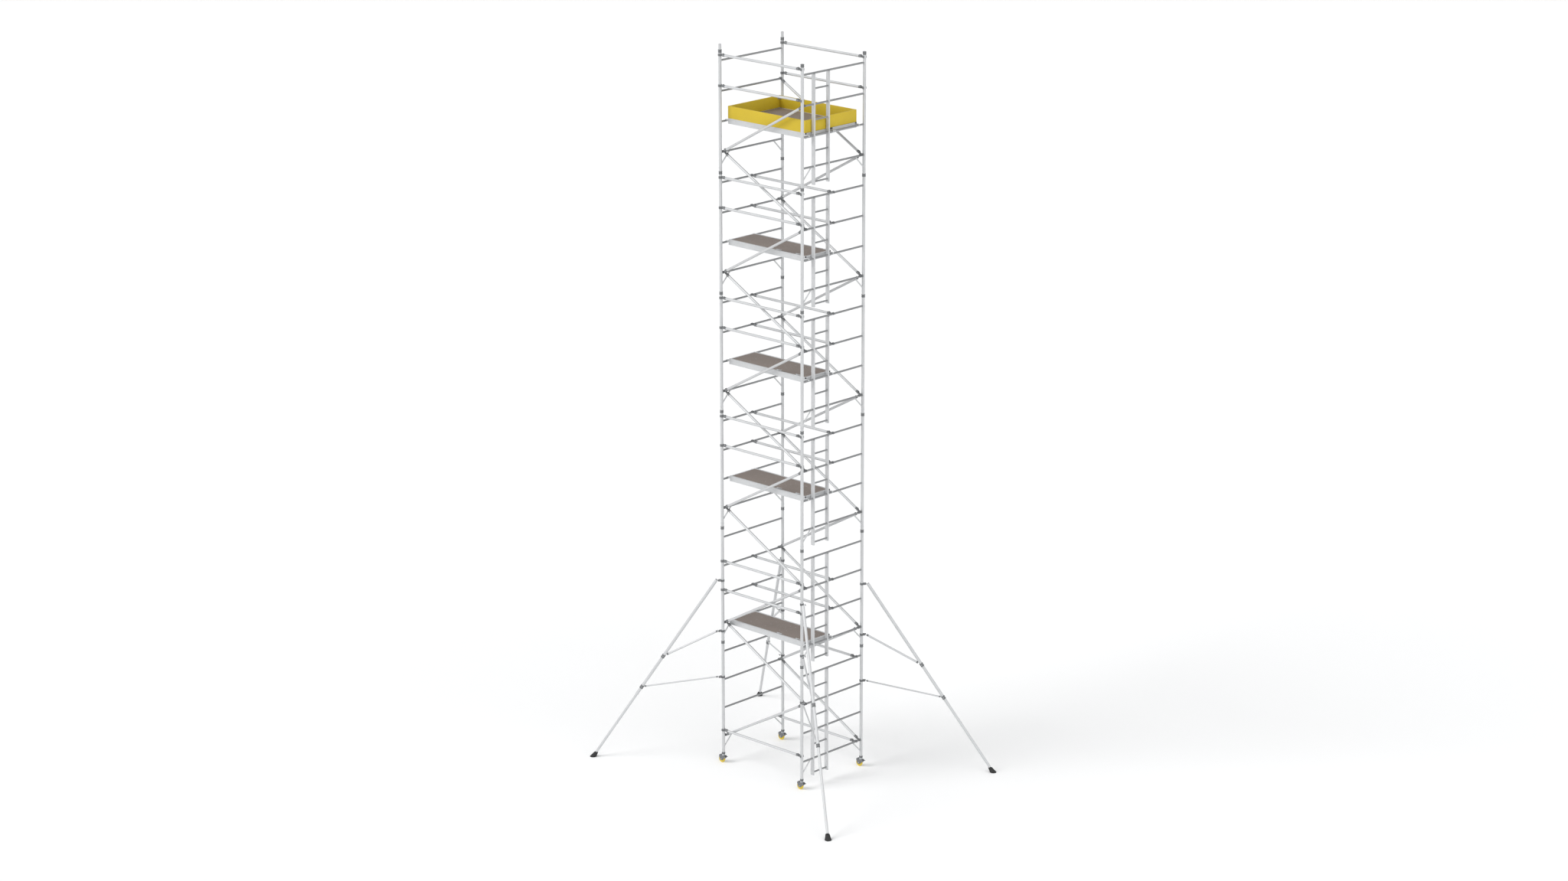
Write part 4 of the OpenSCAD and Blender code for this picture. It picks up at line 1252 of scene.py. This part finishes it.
def makeCastors():
    look = castorLook
    cheekY = look["wheelWidth"] / 2 + look["cheekGap"] + look["cheek"] / 2
    across = 2 * cheekY + look["cheek"]
    thick = look["plateThickness"]
    cheek, wheel, head = cheekShape(), wheelShape(), headShape()
    plate = blockShape((look["front"] + look["back"] + look["trail"], across - 0.0004, thick), 0.0012, 1)
    plateX = (look["front"] - look["back"] - look["trail"]) / 2
    axle = rodShape(look["axleRadius"], across - 0.001, 20, chamfer=0.0006)
    brakePin = rodShape(look["brakePinRadius"], across - 0.001, 14, chamfer=0.0004)
    nut = hexShape(0.0095, 0.0055)
    smallNut = hexShape(0.005, 0.003)
    rimBolt = domeShape(0.0028, 0.0014, 10)
    pedal = pedalShapes()
    for i, column in enumerate(columns, 1):
        centre = joints[f"wheel_{i}_spin"]["pos_m"]
        pin = joints[f"brake_{i}_pedal"]["pos_m"]
        fork = Bench(f"castor_housing_{i}")
        for side in (-1, 1):
            fork.add(cheek, at(column.x, column.y + side * cheekY, 0), casting)
            edge = side * (across / 2 - 0.001)
            fork.add(nut, along((centre[0], column.y + edge, centre[2]), (0, side, 0)), zincSteel)
            fork.add(smallNut, along((pin[0], column.y + edge, pin[2]), (0, side, 0)), zincSteel)
        fork.add(plate, at(column.x + plateX, column.y, look["plateTop"] - thick / 2), casting)
        fork.add(head, at(column.x, column.y, look["plateTop"]), zincSteel)
        start = column.y - across / 2 + 0.0005
        fork.add(axle, Matrix.Translation((centre[0], start, centre[2])) @ alongY, zincSteel)
        fork.add(brakePin, Matrix.Translation((pin[0], start, pin[2])) @ alongY, zincSteel)
        fork.done(f"castor_{i}", f"castor_fork_{i}", slot="grey_casting")
        disc = Bench(f"castor_tyre_{i}")
        disc.add(wheel, Matrix.Translation(centre) @ alongY, wheelYellow)
        ring, out = look["rimBoltRing"], look["wheelWidth"] / 2 - 0.0069
        for side in (-1, 1):
            for k in range(look["rimBolts"]):
                turn = math.tau * k / look["rimBolts"]
                spot = Vector((ring * math.cos(turn), side * out, ring * math.sin(turn)))
                disc.add(rimBolt, along(Vector(centre) + spot, (0, side, 0)), zincSteel)
        disc.done(f"wheel_{i}", f"castor_wheel_{i}", slot="wheel_yellow")
        brake = Bench(f"brake_pedal_{i}")
        for shape, finish in pedal:
            brake.add(shape, Matrix.Translation(pin), finish)
        brake.done(f"brake_{i}", f"castor_brake_{i}", slot="grey_casting")


def pedalShapes():
    # The pedal's plate, its brake shoe and sleeve, and ribs for the sole of a shoe.
    width = castorLook["brakeWidth"]
    sheet = width - 0.0004
    plate = outlineShape([(-0.001, 0.007), (0.040, 0.013), (0.042, 0.007), (0.002, 0.0)], sheet, 0.001, 1)
    shoe = outlineShape(
        [(-0.006, 0.001), (-0.0095, -0.025), (-0.003, -0.027), (0.005, -0.001)], sheet, 0.001, 1)
    sleeve = rodShape(0.0075, width, 20, wall=0.0042, chamfer=0.0005)
    rib = blockShape((0.0022, width * 0.8, 0.0018), 0.0005, 1)
    ribs = [(rib, at(x, 0, 0.0074 + x * 0.146)) for x in (0.014, 0.020, 0.026, 0.032)]
    body = joinShapes((plate, stay), (shoe, stay), (sleeve, Matrix.Translation((0, -width / 2, 0)) @ alongY))
    return [(body, casting), (joinShapes(*ribs), blackPlastic)]


makeLegs()
makeCastors()
print("legs and castors made")


# Stabilisers.

stabiliserLook = {
    "radius": 0.025, "innerRadius": 0.0221, "topReach": 0.095, "topZ": 3.240, "outerLength": 2.5,
    "innerStart": 1.7, "footHeight": 0.080, "clampZ": [3.226, 2.340, 1.528], "lugs": [0.077, 0.070, 0.070],
    "sleeveZ": [1.850, 1.290], "stayRadius": [0.017, 0.0125], "clampHeight": 0.034, "clampRadius": 0.0334,
    "sleeveRadius": 0.032, "sleeveLength": 0.060,
    "boltOut": 0.012, "boltY": 0.0161, "boltLength": 0.034, "gripLength": 0.060,
}


def clampShapes():
    # A hinged half-coupler round the column: two shells with ribs, a hinge, and a swing bolt on one side.
    look = stabiliserLook
    r, h = look["clampRadius"], look["clampHeight"]
    inner = columnRadius + 0.0005
    outline = bothHalves([
        (inner, -h / 2), (r - 0.0025, -h / 2), (r - 0.0005, 0.002 - h / 2), (r - 0.0005, 0.009 - h / 2),
        (r - 0.003, 0.011 - h / 2)])
    shell = arcShape(outline, math.radians(172), 18)
    hinge = rodShape(0.0045, h, 14, chamfer=0.0006)
    half = Matrix.Rotation(math.pi, 4, "Z")
    cast = joinShapes(
        (shell, stay), (shell, half),
        (hinge, at(0, 0.0285, -h / 2)), (hinge, at(0, -0.0285, -h / 2)))
    boltX, boltY, boltLength = columnRadius + look["boltOut"], look["boltY"], look["boltLength"]
    gripLength = look["gripLength"]
    spindle = rodShape(0.005, boltLength, 16)
    boltPlace = Matrix.Translation((boltX, boltY, 0)) @ alongY
    bolts = joinShapes((spindle, boltPlace), (hexShape(0.009, 0.007), boltPlace))
    grip = latheShape([
        (0, 0), (0.0045, 0), (0.006, 0.002), (0.0056, 0.014), (0.0046, 0.022), (0.0046, 0.038),
        (0.0056, 0.046), (0.006, 0.058), (0.0045, gripLength), (0, gripLength)], 20, False)
    gripPlace = Matrix.Translation((boltX - gripLength / 2, boltY + boltLength, 0)) @ alongX
    handle = joinShapes((grip, gripPlace))
    return cast, bolts, handle


def lugShape(reach):
    outline = bothHalves([
        (columnRadius + 0.002, -0.017), (columnRadius + 0.012, -0.0168),
        (reach - 0.010, -0.0130), (reach, -0.006)])
    return outlineShape(outline, 0.031, 0.002)


def sleeveShape():
    look = stabiliserLook
    r, h, inner = look["sleeveRadius"], look["sleeveLength"], look["radius"] + 0.0002
    return latheShape([
        (inner, 0), (r - 0.002, 0), (r, 0.002), (r, 0.012), (r - 0.0025, 0.015), (r - 0.0025, h - 0.015),
        (r, h - 0.012), (r, h - 0.002), (r - 0.002, h), (inner, h)], 36)


def footShape(slope):
    # A ribbed rubber shoe, sheared so that it follows the leg.
    h = stabiliserLook["footHeight"]
    outline = [
        (0, 0), (0.053, 0), (0.055, 0.002), (0.055, 0.012), (0.052, 0.016), (0.049, 0.022), (0.0495, 0.026),
        (0.046, 0.034), (0.0465, 0.038), (0.043, 0.046), (0.0435, 0.050), (0.040, 0.058), (0.0405, 0.062),
        (0.0375, 0.070), (0.036, 0.078), (0.034, h), (0, h)]
    bm = bmesh.new()
    bm.from_mesh(latheShape(outline, 40, False))
    for vert in bm.verts:
        vert.co.x -= vert.co.z / math.tan(slope)
    return keepShape(bm)


def makeStabilisers():
    look = stabiliserLook
    cast, bolts, handle = clampShapes()
    lugs = [lugShape(reach) for reach in look["lugs"]]
    sleeve = sleeveShape()
    pinHead, button = domeShape(0.007, 0.004, 14), domeShape(0.005, 0.0028, 14)
    for i, column in enumerate(columns, 1):
        axis = Vector(joints[f"stabiliser_{i}_extend"]["axis"])
        slope = math.asin(-axis.z)
        turn = at(column.x, column.y, 0, math.atan2(axis.y, axis.x))
        down = Vector((math.cos(slope), 0, -math.sin(slope)))
        top = Vector((look["topReach"], 0, look["topZ"]))

        def legAt(z):
            return top + down * ((look["topZ"] - z) / math.sin(slope))

        bench = Bench(f"stabiliser_arm_{i}")
        outer = rodShape(look["radius"], look["outerLength"] - 0.006, 36, 0.0025)
        bench.add(outer, turn @ along(top + down * 0.006, down), aluminium)
        for z, lug in zip(look["clampZ"], lugs):
            bench.add(cast, turn @ at(0, 0, z), casting)
            bench.add(lug, turn @ at(0, 0, z), casting)
            bench.add(bolts, turn @ at(0, 0, z), zincSteel)
            bench.add(handle, turn @ at(0, 0, z), blackPlastic)
        for z in look["sleeveZ"]:
            spot = legAt(z) - down * (look["sleeveLength"] / 2)
            bench.add(sleeve, turn @ along(spot, down), casting)
            for side in (-1, 1):
                bolt = legAt(z) + Vector((0, side * (look["sleeveRadius"] - 0.003), 0))
                bench.add(pinHead, turn @ along(bolt, (0, side, 0)), zincSteel)
        for j, radius in enumerate(look["stayRadius"]):
            start = Vector((look["lugs"][j + 1] + 0.0001 + radius / 2, 0, look["clampZ"][j + 1]))
            end = legAt(look["sleeveZ"][j])
            line = (end - start).normalized()
            clear = (look["sleeveRadius"] + 0.0005) / math.sin(line.angle(down))
            length = (end - start).length - clear
            shape = rodShape(radius, length, 28, 0.002)
            bench.add(shape, turn @ along(start, line), aluminium)
            band = rodShape(radius + 0.0006, 0.028, 28, chamfer=0.0008)
            bench.add(band, turn @ along(start + line * 0.012, line), casting)
            bench.add(band, turn @ along(start + line * (length - 0.034), line), casting)
        catch = top + down * (look["outerLength"] - 0.060)
        normal = Vector((math.sin(slope), 0, math.cos(slope)))
        bench.add(button, turn @ along(catch + normal * (look["radius"] - 0.0003), normal), zincSteel)
        bench.done(f"stabiliser_{i}", f"stabiliser_{i}", slot="frame_aluminium")

        leg = Bench(f"telescopic_leg_{i}")
        foot = legAt(look["footHeight"])
        start = top + down * look["innerStart"]
        inner = rodShape(look["innerRadius"], (foot - start).length - 0.012, 36, 0.002)
        leg.add(inner, turn @ along(start, down), aluminium)
        leg.done(f"stabiliser_leg_{i}", f"stabiliser_leg_{i}", slot="frame_aluminium")
        shoe = Bench(f"rubber_foot_{i}")
        shoe.add(footShape(slope), turn @ Matrix.Translation(legAt(0)), blackRubber)
        shoe.done(f"stabiliser_leg_{i}", f"stabiliser_foot_{i}", slot="foot_rubber")


makeStabilisers()
print("stabilisers made")


# Camera, light and floor.

view = {
    "azimuth": math.radians(43.214), "elevation": math.radians(16.230), "distance": 63.735,
    "aimHeight": 6.044, "lens": 89.44, "shiftX": -0.00518, "shiftY": -0.0139,
    "sensor": 36, "clipEnd": 500,
}


def makeCamera():
    back = Vector((
        math.sin(view["azimuth"]) * math.cos(view["elevation"]),
        -math.cos(view["azimuth"]) * math.cos(view["elevation"]),
        math.sin(view["elevation"])))
    data = bpy.data.cameras.new("camera")
    data.lens = view["lens"]
    data.sensor_width = view["sensor"]
    data.shift_x = view["shiftX"]
    data.shift_y = view["shiftY"]
    data.clip_end = view["clipEnd"]
    camera = bpy.data.objects.new("camera", data)
    camera.location = Vector((0, 0, view["aimHeight"])) + back * view["distance"]
    camera.rotation_euler = (-back).to_track_quat("-Z", "Y").to_euler()
    bpy.context.scene.collection.objects.link(camera)
    bpy.context.scene.camera = camera


lightSet = {
    "zenith": 0.38, "horizon": 0.9, "tint": (0.985, 0.993, 1.0),
    "suns": [  # name, direction it shines from, strength, size of its disc
        ("key", (-0.45, -1.0, 0.95), 1.6, 32),
        ("fill", (1.0, -0.25, 0.75), 1.0, 60)],
    "floor": 400.0, "floorDrop": 0.001,
}


def makeLight():
    world = bpy.data.worlds.new("studio")
    sky = Shop(world, "Background")
    direction = sky.node("ShaderNodeTexCoord", {}, {}, "Generated")
    height = sky.node("ShaderNodeSeparateXYZ", {}, {0: direction}, "Z")
    values = {"Value": height, "To Min": lightSet["horizon"], "To Max": lightSet["zenith"]}
    sky.use("Strength", sky.node("ShaderNodeMapRange", {}, values))
    sky.shader.inputs["Color"].default_value = (*lightSet["tint"], 1)
    bpy.context.scene.world = world
    for name, source, strength, disc in lightSet["suns"]:
        data = bpy.data.lights.new(name, "SUN")
        data.energy = strength
        data.angle = math.radians(disc)
        lamp = bpy.data.objects.new(name, data)
        lamp.location = Vector(source) * 20
        lamp.rotation_euler = Vector(source).to_track_quat("Z", "Y").to_euler()
        bpy.context.scene.collection.objects.link(lamp)


def makeFloor():
    finish = Finish("studio floor", roughness=0.95)
    cloud = finish.noise(finish.place((1, 1, 1)), 0.4, 3.0)
    finish.use("Base Color", finish.mix(cloud, rgb(0.955, 0.955, 0.955), rgb(0.97, 0.97, 0.97)))
    bm = bmesh.new()
    bmesh.ops.create_grid(bm, x_segments=1, y_segments=1, size=lightSet["floor"])
    mesh = bpy.data.meshes.new("floor")
    bm.to_mesh(mesh)
    bm.free()
    mesh.materials.append(finish.material)
    floor = bpy.data.objects.new("floor", mesh)
    floor.location.z = -lightSet["floorDrop"]
    bpy.context.scene.collection.objects.link(floor)


makeCamera()
makeLight()
makeFloor()
bpy.context.scene.view_settings.view_transform = "Standard"
print("camera and light set")
